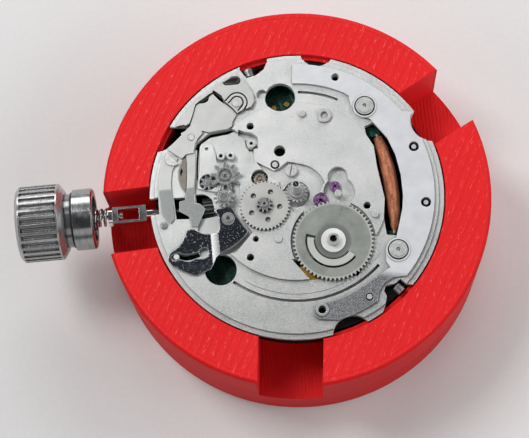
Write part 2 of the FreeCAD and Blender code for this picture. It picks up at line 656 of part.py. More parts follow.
def cover_plate():
    """Flat leaf with a pointed end; its lower corner runs over the yoke's head."""
    leaf = [
        (-7.05, 10.5), (-6.75, 10.15), (-6.42, 9.75), (-6.1, 9.5), (-5.3, 8.8), (-4.95, 8.3), (-5.4, 7.6),
        (-5.5, 7.1), (-6.0, 6.9), (-7.7, 6.75), (-8.5, 7.0), (-9.0, 7.35), (-9.4, 7.6), (-9.05, 8.5),
        (-8.7, 9.5), (-8.4, 9.65), (-7.85, 9.68), (-7.52, 9.85), (-7.38, 10.25),
    ]
    corner = [
        (-8.3, 6.75), (-8.8, 6.25), (-9.1, 5.75), (-9.25, 5.1), (-9.3, 4.85), (-10.0, 4.8), (-10.45, 4.4),
        (-11.75, 5.45), (-10.3, 6.7), (-9.75, 7.25), (-9.3, 7.6), (-8.6, 7.6),
    ]
    sheet_metal = [
        stamping("cover_leaf", leaf, "plate_top", "leaf_top"),
        stamping("cover_corner", corner, "lever_top + 0.02", "leaf_top"),
    ]
    pin_hole = cylinder("cover_pin_hole", 0.34, "plate_top", ABOVE, *YOKE_PIN)
    finish(cut("cover_pierced", fuse("cover_solid", sheet_metal), [pin_hole]), "cover_plate")


def tongue(inner, outer, legs=0.62):
    """Outline of a U-shaped slot round the clamp's rivet, open towards the cover's corner."""
    back = polar(legs, 225)
    tips = {}
    for radius in (inner, outer):
        for side in (135, -45):
            x, y = polar(radius, side, CLAMP_RIVET)
            tips[radius, side] = (x + back[0], y + back[1])
    return [
        tips[outer, 135], arc(outer, 135, -45, CLAMP_RIVET), tips[outer, -45],
        tips[inner, -45], arc(inner, -45, 135, CLAMP_RIVET), tips[inner, 135],
    ]


def cover_clamp():
    """Embossed sheet along the rim, with a tongue that its rivet holds."""
    spans = [
        arc(13.1, 111.5, 144.6),
        (-9.95, 7.66), (-9.85, 7.56), (-9.46, 7.76), (-9.12, 8.55), (-8.77, 9.57), (-8.4, 9.85),
        (-7.85, 10.17), (-7.4, 10.48), (-7.06, 10.62), (-7.0, 10.85), (-6.65, 10.62), (-6.2, 10.22),
        (-5.93, 9.62), (-5.24, 8.88), (-4.88, 8.36),
        (-4.2, 8.65), (-3.5, 8.85), (-3.15, 9.4), (-3.2, 10.1), (-3.65, 11.1), (-4.1, 11.85),
    ]
    tools = []
    grooves = {"clamp_slot_wide": (0.88, 1.03), "clamp_slot_narrow": (0.52, 0.66)}
    for name, (inner, outer) in grooves.items():
        tools.append(stamping(name, tongue(inner, outer), "plate_top + 0.12", ABOVE))
    hollow = doc.addObject("Part::Cylinder", "clamp_hollow")
    bind(hollow, Radius="0.45", Height="0.9")
    along_x = FreeCAD.Rotation(FreeCAD.Vector(0, 1, 0), 90)
    hollow.Placement = FreeCAD.Placement(FreeCAD.Vector(-5.6, 11.6, 0), along_x)
    bind(hollow, Placement__Base__z="clamp_top + 0.08")
    tools.append(hollow)
    for number, x in enumerate((-5.6, -4.7), start=1):
        ball = doc.addObject("Part::Sphere", f"clamp_hollow_end_{number}")
        bind(ball, Radius="0.45")
        tools.append(place(ball, x, 11.6, "clamp_top + 0.08"))
    finish(cut("clamp_cut", stamping("clamp", spans, "plate_top", "clamp_top"), tools), "cover_clamp")


def yoke():
    spans = [
        arc(0.6, -30, 200, YOKE_PIN),
        (-10.0, 4.6), (-9.95, 3.9), (-10.05, 2.7), (-10.2, 1.4), (-10.4, 0.8), (-10.45, 0.35),
        (-11.0, 0.25), (-11.05, -0.7), (-10.2, -1.25), (-10.0, -2.25), (-9.45, -2.3), (-8.6, -0.65),
        (-9.05, -0.15), (-9.7, 0.05), (-9.6, 1.2), (-9.35, 2.7), (-9.2, 4.1), (-9.15, 5.2),
    ]
    lever = stamping("yoke_blank", spans, "plate_top", "lever_top")
    hole = cylinder("yoke_hole", 0.34, UNDER, ABOVE, *YOKE_PIN)
    finish(cut("yoke_lever", lever, [hole]), "yoke")


def yoke_spring():
    spans = [
        ((-10.2, 4.5), (-10.92, 2.7), (-10.38, 1.1)),
        ((-10.3, 1.4), (-10.16, 2.8), (-10.1, 4.3)),
    ]
    leaf = stamping("spring_blank", spans, "plate_top", "spring_top")
    finish(cut("spring_leaf_cut", leaf, [stamping("spring_gap", SPRING_GAP, UNDER, ABOVE)]), "yoke_spring")


def side_strip():
    spans = [
        (-12.1, 5.0), (-12.75, 2.7), (-12.85, 1.4), (-12.65, -0.9), (-11.95, -1.75), (-11.6, -1.4),
        (-11.65, 2.2), (-11.45, 3.3), (-10.85, 4.5),
    ]
    finish(stamping("strip", spans, "plate_top", "strip_top"), "side_strip")
    cap = [arc(0.72, 130, 312, (-11.3, 4.5))]
    finish(stamping("cap", cap, "strip_top", "leaf_top + 0.02"), "strip_cap")


def wheel_bridge():
    """Small bridge under the star wheel, with a round opening for the idler."""
    spans = [
        arc(0.65, 0, 180, (-8.05, 5.2)),
        (-8.75, 4.2), (-8.9, 3.0), (-9.2, 1.45), (-8.4, 1.15), (-7.5, 0.95), (-6.4, 1.3), (-6.5, 3.2),
        (-7.2, 3.9), (-7.25, 4.6),
    ]
    leaf = stamping("bridge_blank", spans, "bay_level", "bay_level + 0.18")
    holes = [
        cylinder("bridge_hole", 0.17, UNDER, ABOVE, -8.05, 5.25),
        cylinder("bridge_opening", 0.8, UNDER, ABOVE, *IDLER),
    ]
    finish(cut("bridge", leaf, holes), "wheel_bridge")


def setting_lever_spring():
    """Polished leaf: a flat outline, folded once so that its right side lies higher."""
    spans = [
        (-12.4, -4.95), (-12.3, -4.75), (-12.0, -4.5), (-11.5, -4.2), (-11.0, -3.65), (-10.7, -3.05),
        (-10.45, -2.6), (-10.1, -2.5), (-9.8, -2.55), (-9.5, -2.75), (-9.1, -3.0), (-8.75, -3.1),
        (-8.4, -3.12), (-7.6, -3.1), (-7.4, -2.7), (-7.42, -1.6), (-7.8, -0.9), (-6.2, -0.7),
        (-5.85, -1.5), (-5.3, -2.5), (-4.8, -3.3), (-5.2, -3.75), (-6.0, -4.4), (-6.8, -4.8),
        (-7.5, -5.1), (-7.95, -5.45), (-8.35, -6.2), (-8.55, -6.5), (-9.9, -7.0), (-10.3, -6.9),
        (-11.2, -6.45), (-12.1, -5.85), (-12.45, -5.4),
    ]
    slot = [
        (-12.15, -4.95), (-11.9, -4.75), (-11.4, -4.65), (-10.9, -4.9), (-10.2, -4.9), (-9.6, -4.75),
        (-9.4, -4.5), (-9.0, -4.38), (-8.68, -4.55), (-8.62, -4.95), (-8.8, -5.3), (-9.1, -5.45),
        (-9.9, -5.38), (-10.4, -5.6), (-10.9, -5.5), (-11.3, -5.3), (-11.8, -5.4), (-12.1, -5.25),
    ]
    low, rise, leaf = size("plate_top"), size("fold_rise"), size("spring_leaf")
    underside = [(-13.5, low), (-8.3, low), (-7.6, low + rise), (-4, low + rise)]
    upper = [(x, level + leaf) for x, level in reversed(underside)]
    folded = doc.addObject("Part::Feature", "folded_sheet")
    corners = [FreeCAD.Vector(x, -8, z) for x, z in underside + upper]
    folded.Shape = Part.Face(Part.makePolygon(corners + corners[:1])).extrude(FreeCAD.Vector(0, 9, 0))
    shape = doc.addObject("Part::Common", "lever_spring_leaf")
    shape.Base = stamping("lever_spring_blank", spans, "plate_top - 1", ABOVE)
    shape.Tool = folded
    opening = stamping("lever_spring_slot", slot, "plate_top - 1", ABOVE)
    finish(cut("lever_spring", shape, [opening]), "setting_lever_spring")


# -------------------------------------------------------- screws, pins, jewels


def slotted_screw(name, radius, bottom, top, x, y, turn):
    """Cylinder head with a driver slot across its top."""
    head = cylinder(f"{name}_head", radius, bottom, top, x, y)
    slot = doc.addObject("Part::Box", f"{name}_slot")
    bind(slot, Length=f"2.4 * {radius}", Width=f"0.28 * {radius}", Height="1")
    spin = FreeCAD.Rotation(FreeCAD.Vector(0, 0, 1), turn)
    corner = spin.multVec(FreeCAD.Vector(-1.2 * radius, -0.14 * radius, 0))
    slot.Placement = FreeCAD.Placement(FreeCAD.Vector(x, y, size(f"{top} - 0.1")) + corner, spin)
    bind(slot, Placement__Base__z=f"{top} - 0.1")
    return cut(name, head, [slot])


def casing_screw(number, x, y, heading):
    """Screw that lies flat in the rim, pointing outward."""
    screw = doc.addObject("Part::Cylinder", f"casing_screw_{number}")
    bind(screw, Radius="casing_screw_radius", Height="0.7")
    along = FreeCAD.Vector(*polar(1, heading), 0)
    start = FreeCAD.Vector(x, y, size("plate_bottom + casing_screw_radius")) - along * 0.35
    screw.Placement = FreeCAD.Placement(start, FreeCAD.Rotation(FreeCAD.Vector(0, 0, 1), along))
    bind(screw, Placement__Base__z="plate_bottom + casing_screw_radius")
    return screw


def screws():
    floor = "plateau_top - recess_depth"
    centre = slotted_screw("centre_head", 0.55, floor, "plateau_top + 0.1", *CENTRE_SCREW, 75)
    finish(centre, "centre_screw")
    guard = []
    for number, (x, y) in enumerate(GUARD_SCREWS, start=1):
        head = cylinder(f"guard_head_{number}", "screw_head", "plate_top", "screw_top - 0.06", x, y)
        face = cylinder(f"guard_face_{number}", "0.78 * screw_head", "plate_top", "screw_top", x, y)
        dimple = cylinder(f"guard_dimple_{number}", 0.2, "screw_top - 0.12", "screw_top + 1", x, y)
        guard.append(cut(f"guard_screw_{number}", fuse(f"guard_round_{number}", [head, face]), [dimple]))
    finish(fuse("guard_screw_pair", guard), "guard_screws")
    casing = [casing_screw(number, *where) for number, where in enumerate(CASING_SCREWS, start=1)]
    finish(fuse("casing_screw_pair", casing), "casing_screws")


def stepped_pin(name, radius, bottom, top, x, y):
    """Riveted pin: a wide collar with a narrower head on it."""
    collar = cylinder(f"{name}_collar", radius, bottom, f"{top} - 0.1", x, y)
    head = cylinder(f"{name}_head", f"0.68 * {radius}", bottom, top, x, y)
    return fuse(name, [collar, head])


def eyelet(name, label, radius, hole_radius, bottom, top, x, y):
    """Short tube, riveted into a plate."""
    outer = cylinder(f"{name}_outer", radius, bottom, top, x, y)
    hole = cylinder(f"{name}_bore", hole_radius, f"{bottom} - 1", f"{top} + 1", x, y)
    finish(cut(name, outer, [hole]), label)


def pins_and_posts():
    spring_face = "plate_top + fold_rise + spring_leaf"
    rivet = stepped_pin("rivet_leaf", 0.6, spring_face, "leaf_top + 0.3", -6.55, -1.9)
    dimple = cylinder("rivet_dimple", 0.2, "leaf_top + 0.15", ABOVE, -6.55, -1.9)
    finish(cut("rivet_leaf_cut", rivet, [dimple]), "spring_rivet")
    rivets = discs("rivet_clamp", 0.46, "clamp_top", "clamp_top + 0.1", [CLAMP_RIVET])
    rivets += discs("rivet_plate", 0.36, "plateau_top", "plateau_top + 0.14", [(-2.05, -4.25)])
    rivets += discs("rivet_centre", 0.27, "plate_bottom", "plateau_top + 0.02", [CENTRE_RIVET])
    finish(fuse("rivet_set", rivets), "plate_rivets")
    finish(stepped_pin("strip_pin", 0.36, "plate_top", "leaf_top - 0.06", -12.6, -1.9), "strip_screw")
    pins = discs("pin_guard", 0.22, "plate_bottom", "leaf_top - 0.1", GUARD_PINS)
    pins += discs("pin_low", 0.25, "deep_level", "leaf_top + 0.1", [LOW_PIN])
    finish(fuse("guard_pin_set", pins), "guard_pins")
    posts = discs("post_face", 0.33, "plateau_top", "plateau_top + 0.35", [(7.1, -2.75), (1.2, 7.7)])
    posts += discs("post_pocket", 0.3, "bay_level", "plateau_top + 0.3", [(3.85, -0.42)])
    for number, (x, y) in enumerate([(-6.75, 4.3), (-5.85, 4.25)], start=1):
        stud = cylinder(f"stud_{number}", 0.36, "bay_level", "plate_top + 0.3", x, y)
        dimple = cylinder(f"stud_dimple_{number}", 0.18, "plate_top", ABOVE, x, y)
        posts.append(cut(f"stud_cut_{number}", stud, [dimple]))
    finish(fuse("post_set", posts), "locating_posts")
    finish(cylinder("pivot_pin", 0.3, "plate_top", "leaf_top + 0.04", *YOKE_PIN), "yoke_pin")
    finish(cylinder("spring_pin", 0.26, "plate_bottom", "strip_top + 0.02", -11.65, -5.05), "lever_pin")


def tubes():
    eyelet("tube", "hand_tube", 0.4, 0.16, "deep_level", "plateau_top + 0.3", *HAND_TUBE)
    eyelet("eye", "guard_eyelet", 0.6, 0.38, "leaf_top", "leaf_top + 0.12", *EYELET)
    seat = cylinder("nut_blank", 0.72, "plateau_top", "plateau_top + 0.3", 3.25, 7.35)
    flat = box("nut_flat", (2.2, 2.78), (6.4, 8.4), UNDER, ABOVE)
    hole = cylinder("nut_hole", 0.36, UNDER, ABOVE, 3.3, 7.3)
    finish(cut("nut", seat, [flat, hole]), "plate_nut")


def jewel(label, radius, bore, top, x, y):
    stone = cylinder(f"{label}_stone", radius, "bay_level - seat_depth", top, x, y)
    hole = cylinder(f"{label}_hole", bore, UNDER, ABOVE, x, y)
    finish(cut(f"{label}_cut", stone, [hole]), label)


# -------------------------------------------------------------------- wheels


def cannon_pinion():
    teeth = toothed_disc("cannon_rim", "cannon_teeth", "train_module", "wheel_level - 0.1", 0.4)
    hub = cylinder("cannon_hub", 0.62, "wheel_level - 0.2", "wheel_level + 0.75")
    post = cylinder("cannon_post", "post_radius", "wheel_level - 0.2", "hand_post_top")
    bore = cylinder("cannon_bore", "post_bore", "wheel_level - 1", "hand_post_top + 1")
    finish(cut("cannon", fuse("cannon_solid", [teeth, hub, post]), [bore]), "cannon_pinion")
    finish(cylinder("second_pin", "second_radius", "bay_level", "hand_post_top - 0.05"), "second_arbor")


def minute_wheel():
    rim = toothed_disc("minute_rim", "minute_teeth", "train_module", "wheel_level", "wheel_thickness", 2.6)
    place(rim, "minute_x", "minute_y", "wheel_level")
    holes = []
    for number in range(5):
        x, y = polar(1.4, 62 + 72 * number)
        name = f"minute_hole_{number}"
        holes.append(cylinder(name, 0.27, "wheel_level - 1", "wheel_level + 1", f"minute_x + {x:.3f}",
                              f"minute_y + {y:.3f}"))
    finish(cut("minute", rim, holes), "minute_wheel")
    leaves = toothed_disc("leaves", 10, 0.13, "wheel_level + wheel_thickness", 0.45, 0, 2.2)
    place(leaves, "minute_x", "minute_y", "wheel_level + wheel_thickness")
    pivot = cylinder("minute_pivot", 0.3, "wheel_level + wheel_thickness", "wheel_level + 0.95",
                     "minute_x", "minute_y")
    dimple = cylinder("minute_dimple", 0.14, "wheel_level + 0.8", "wheel_level + 2", "minute_x", "minute_y")
    finish(cut("minute_leaves_cut", fuse("minute_leaves", [leaves, pivot]), [dimple]), "minute_pinion")


def counter_wheel():
    """Plastic wheel with a curved spring arm cut out of its web."""
    teeth = 58
    module = size("counter_radius") * 2 / (teeth + 1.6)
    low, high = "pit_level + 0.1", "pit_level + 0.4"
    rim = toothed_disc("counter_rim", teeth, module, low, 0.3)
    place(rim, "counter_x", "counter_y", low)
    centre = (size("counter_x"), size("counter_y"))
    slot = stamping("counter_slot", band(2.15, 0.9, 160, 318, centre), "pit_level", ABOVE)
    collar = cylinder("counter_collar", 1.62, low, "pit_level + 0.44", "counter_x", "counter_y")
    gap = cylinder("counter_gap", "counter_boss", "pit_level", ABOVE, "counter_x", "counter_y")
    arm = stamping("counter_arm", band(2.12, 0.62, 168, 320, centre), low, "pit_level + 0.5")
    web = fuse("counter_web", [cut("counter_slotted", rim, [slot]), collar, arm])
    finish(cut("counter", web, [gap]), "counter_wheel")
    boss = cylinder("counter_boss_blank", "counter_boss", low, "pit_level + 0.55", "counter_x", "counter_y")
    seat = cylinder("counter_seat", "counter_pipe", "pit_level", ABOVE, "counter_x", "counter_y")
    finish(cut("counter_core", boss, [seat]), "counter_hub")
    pipe = cylinder("counter_tube", "counter_pipe", low, "counter_post_top", "counter_x", "counter_y")
    bore = cylinder("counter_bore", "0.6 * counter_pipe", "pit_level", ABOVE, "counter_x", "counter_y")
    finish(cut("counter_tube_cut", pipe, [bore]), "counter_pipe")


def small_wheels():
    star = toothed_disc("star_rim", 9, 0.27, "plate_top + 0.04", 0.22, 8, 2.2)
    place(star, *STAR, "plate_top + 0.04")
    star_rim = cylinder("star_hub", 0.86, "plate_top + 0.04", "leaf_top + 0.06", *STAR)
    star_cup = cylinder("star_cup", 0.66, "leaf_top - 0.08", ABOVE, *STAR)
    star_boss = cylinder("star_boss", 0.4, "plate_top + 0.04", "leaf_top + 0.04", *STAR)
    star_bore = cylinder("star_bore", 0.19, "leaf_top - 0.1", ABOVE, *STAR)
    cupped = cut("star_cupped", fuse("star_wide", [star, star_rim]), [star_cup])
    finish(cut("star", fuse("star_solid", [cupped, star_boss]), [star_bore]), "star_wheel")
    level = "plate_top + fold_rise + spring_leaf + 0.06"
    rim = toothed_disc("setting_rim", 12, 0.14, level, 0.26, 0, 2.2)
    place(rim, *SETTING, level)
    hub = cylinder("setting_hub", 0.42, "bay_level + 0.04", f"{level} + 0.42", *SETTING)
    collar = cylinder("setting_collar", 0.6, level, f"{level} + 0.32", *SETTING)
    finish(fuse("setting", [rim, hub, collar]), "setting_wheel")
    idler = toothed_disc("idler_rim", 8, 0.16, "bay_level - 0.1", 0.2, 10, 2.0)
    place(idler, *IDLER, "bay_level - 0.1")
    idler_hub = cylinder("idler_hub", 0.25, "deep_level", "bay_level + 0.15", *IDLER)
    finish(fuse("idler", [idler, idler_hub]), "idler_wheel")
    train = toothed_disc("train_rim", 14, 0.086, "plate_bottom + 0.3", 0.2)
    place(train, *TRAIN, "plate_bottom + 0.3")
    cup = cylinder("train_cup", 0.46, "plate_bottom + 0.3", "plate_bottom + 0.65", *TRAIN)
    hollow = cylinder("train_hollow", 0.32, "plate_bottom + 0.45", ABOVE, *TRAIN)
    arbor = cylinder("train_arbor", 0.15, "board_top", "plate_bottom + 0.75", *TRAIN)
    cupped = cut("train_cupped", fuse("train_wide", [train, cup]), [hollow])
    finish(fuse("train", [cupped, arbor]), "train_wheel")


# ------------------------------------------------------------ stem and crown


def winding_stem():
    body = new_body("winding_stem")
    turned(
        body,
        [
            (0, 7.55),
            (0.25, 7.55),
            (0.25, 9.6),
            (0.3, 9.6),
            (0.3, 11.6),
            ("stem_radius", 11.6),
            ("stem_radius", "coupler_start"),
            (0, "coupler_start"),
        ],
    )
    lay_along_stem(body)


def clutch_pinion():
    """Sliding pinion on the stem's thin end."""
    ring = toothed_disc("clutch_teeth", 14, 0.12, 7.7, 1.2, 0, 2.0)
    bore = doc.addObject("Part::Cylinder", "clutch_bore")
    bind(bore, Radius="0.32", Height="4")
    bore.Placement = FreeCAD.Placement(FreeCAD.Vector(0, 0, 7), FreeCAD.Rotation())
    finish(lay_along_stem(cut("clutch", ring, [bore])), "clutch_pinion")


def stem_coupler():
    """Flat frame with a window, which lets the crown telescope on the stem."""
    frame = box("coupler_frame", (-0.45, 0.45), (-0.8, 0.8), "coupler_start", "coupler_end")
    window = box("coupler_window", (-1, 1), (-0.55, 0.55), "coupler_start + 0.7", "coupler_end - 0.5")
    collar = cylinder("coupler_collar", "collar_radius", "coupler_end", "collar_end")
    bore = cylinder("coupler_bore", "rod_radius + 0.06", "coupler_end - 1", "collar_end + 1")
    solid = fuse("coupler_solid", [frame, collar])
    finish(lay_along_stem(cut("coupler", solid, [window, bore])), "stem_coupler")


def crown_spring():
    """Open compression spring round the rod."""
    wire = size("spring_wire") / 2
    radius = size("spring_radius") - wire
    start = size("collar_end") + wire
    length = size("spring_end - collar_end") - 2 * wire
    turns = size("spring_turns")
    helix = Part.makeHelix(length / turns, length, radius)
    helix.translate(FreeCAD.Vector(0, 0, start))
    section = Part.Wire(Part.makeCircle(wire, FreeCAD.Vector(radius, 0, start), FreeCAD.Vector(0, 1, 0.15)))
    spring = doc.addObject("Part::Feature", "spring")
    spring.Shape = Part.Wire(helix).makePipeShell([section], True, False)
    finish(lay_along_stem(spring), "crown_spring")


def crown_sleeve():
    body = new_body("crown_sleeve")
    turned(
        body,
        [
            ("sleeve_bore", "sleeve_start"),
            ("sleeve_radius - 0.15", "sleeve_start"),
            ("sleeve_radius", "sleeve_start + 0.15"),
            ("sleeve_radius", "sleeve_end"),
            (0, "sleeve_end"),
            (0, "spring_end"),
            ("sleeve_bore", "spring_end"),
        ],
    )
    lay_along_stem(body)


def crown_rod():
    body = new_body("crown_rod")
    head = "coupler_end - 0.5"
    turned(
        body,
        [
            (0, f"{head} - 0.45"),
            (0.36, f"{head} - 0.45"),
            (0.36, f"{head} - 0.15"),
            ("rod_radius", f"{head} - 0.15"),
            ("rod_radius", "spring_end"),
            (0, "spring_end"),
        ],
    )
    lay_along_stem(body)


def crown_gasket():
    body = new_body("crown_gasket")
    turned(
        body,
        [
            (0, "sleeve_end"),
            ("neck_radius + 0.1", "sleeve_end"),
            ("neck_radius + 0.1", "gasket_end"),
            (0, "gasket_end"),
        ],
    )
    lay_along_stem(body)


def crown_head():
    body = new_body("crown_head")
    turned(
        body,
        [
            (0, "gasket_end"),
            ("neck_radius", "gasket_end"),
            ("neck_radius", "neck_end"),
            ("neck_radius + 0.35", "neck_end"),
            ("crown_radius", "crown_start"),
            ("crown_radius", "crown_end"),
            ("crown_radius - 0.3", "crown_face - 0.22"),
            ("crown_radius - 1.2", "crown_face - 0.07"),
            (0, "crown_face"),
        ],
    )
    flute = body.newObject("Sketcher::SketchObject", "Flute")
    flute.AttachmentSupport = (origin_plane(body, "XY_Plane"), [""])
    flute.MapMode = "FlatFace"
    flute.AttachmentOffset = FreeCAD.Placement(FreeCAD.Vector(0, 0, 1), FreeCAD.Rotation())
    bind(flute, AttachmentOffset__Base__z="crown_start + knurl_margin")
    centre = FreeCAD.Vector(size("crown_radius + knurl_radius / 6"), 0, 0)
    flute.addGeometry(Part.Circle(centre, FreeCAD.Vector(0, 0, 1), size("knurl_radius")))
    flute.addConstraint(Sketcher.Constraint("PointOnObject", 0, 3, -1))
    flute.addConstraint(Sketcher.Constraint("DistanceX", -1, 1, 0, 3, centre.x))
    flute.addConstraint(Sketcher.Constraint("Radius", 0, size("knurl_radius")))
    flute.setExpression("Constraints[1]", formula("crown_radius + knurl_radius / 6"))
    flute.setExpression("Constraints[2]", formula("knurl_radius"))
    pocket = body.newObject("PartDesign::Pocket", "Flute_cut")
    pocket.Profile = flute
    pocket.Type = "Length"
    bind(pocket, Length="crown_end - crown_start - 2 * knurl_margin")
    pocket.Reversed = True
    ring = body.newObject("PartDesign::PolarPattern", "Knurling")
    ring.Originals = [pocket]
    ring.Axis = (flute, ["N_Axis"])
    ring.Angle = 360
    bind(ring, Occurrences="knurl_count")
    body.Tip = ring
    lay_along_stem(body)


# ------------------------------------------------------------- build and export


def check_and_export():
    doc.recompute()
    for thing in doc.Objects:
        if "Invalid" in thing.State or "Error" in thing.State:
            raise RuntimeError(f"{thing.Label}: {thing.State}")
    os.makedirs("parts", exist_ok=True)
    for thing in parts:
        shape = thing.Shape
        if shape.isNull() or not shape.isValid() or not shape.Solids:
            raise RuntimeError(f"{thing.Label}: bad shape")
        shape.exportStep(f"parts/{thing.Label}.step")
        print(f"{thing.Label:24s} {len(shape.Solids)} solid(s) {shape.Volume:10.3f} mm3")


fill_sheet()
holder_ring()
main_plate()
movement_body()
back_cover()
battery()
circuit_board()
coil()
brass_contact()
guard_plate()
cover_plate()
cover_clamp()
yoke()
yoke_spring()
side_strip()
wheel_bridge()
setting_lever_spring()
screws()
pins_and_posts()
tubes()
jewel("large_jewel", 0.65, 0.16, "pit_level + 0.04", *LARGE_JEWEL)
jewel("small_jewel", 0.48, 0.13, "pit_level + 0.1", *SMALL_JEWEL)
cannon_pinion()
minute_wheel()
counter_wheel()
small_wheels()
winding_stem()
clutch_pinion()
stem_coupler()
crown_spring()
crown_sleeve()
crown_rod()
crown_gasket()
crown_head()
check_and_export()
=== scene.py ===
"""Looks of the loaded watch movement holder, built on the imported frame. Units: metres."""
import math

import bmesh
import bpy
from mathutils import Matrix, Vector


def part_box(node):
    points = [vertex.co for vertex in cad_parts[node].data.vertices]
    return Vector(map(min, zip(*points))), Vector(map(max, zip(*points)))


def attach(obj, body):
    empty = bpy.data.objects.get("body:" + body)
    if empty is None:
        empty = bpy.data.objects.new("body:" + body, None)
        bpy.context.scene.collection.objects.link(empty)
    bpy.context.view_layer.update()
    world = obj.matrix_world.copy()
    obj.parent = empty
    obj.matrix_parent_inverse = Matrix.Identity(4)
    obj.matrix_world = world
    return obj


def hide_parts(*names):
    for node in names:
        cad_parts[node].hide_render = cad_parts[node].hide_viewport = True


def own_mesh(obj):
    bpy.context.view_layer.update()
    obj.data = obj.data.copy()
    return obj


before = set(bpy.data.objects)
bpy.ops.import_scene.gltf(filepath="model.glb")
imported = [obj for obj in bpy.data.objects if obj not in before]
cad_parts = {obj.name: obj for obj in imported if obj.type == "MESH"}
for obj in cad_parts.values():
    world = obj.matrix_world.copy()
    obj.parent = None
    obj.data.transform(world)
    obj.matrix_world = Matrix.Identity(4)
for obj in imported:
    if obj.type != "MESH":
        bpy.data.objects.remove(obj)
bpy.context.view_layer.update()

MM = 0.001


def centre_of(node):
    low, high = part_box(node)
    return tuple((a + b) / 2 for a, b in zip(low, high))


COUNTER_CENTRE = centre_of("counter_wheel")
COUNTER_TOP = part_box("counter_wheel")[1][2]
RING_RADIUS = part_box("holder_ring")[1][0]
POCKET_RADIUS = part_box("movement_body")[1][0]
HATCH = math.radians(62)  # direction of the strands in the holder's top skin
STRAND = 0.4 * MM  # width of a printed strand
LAYER = 0.2 * MM  # height of a printed layer
FOLD = (-8.3 * MM, -7.6 * MM)  # x of the two sides of the setting-lever spring's fold
LAMP_DISTANCE = 0.42  # from each soft light to the movement


# ------------------------------------------------------------------ node graphs


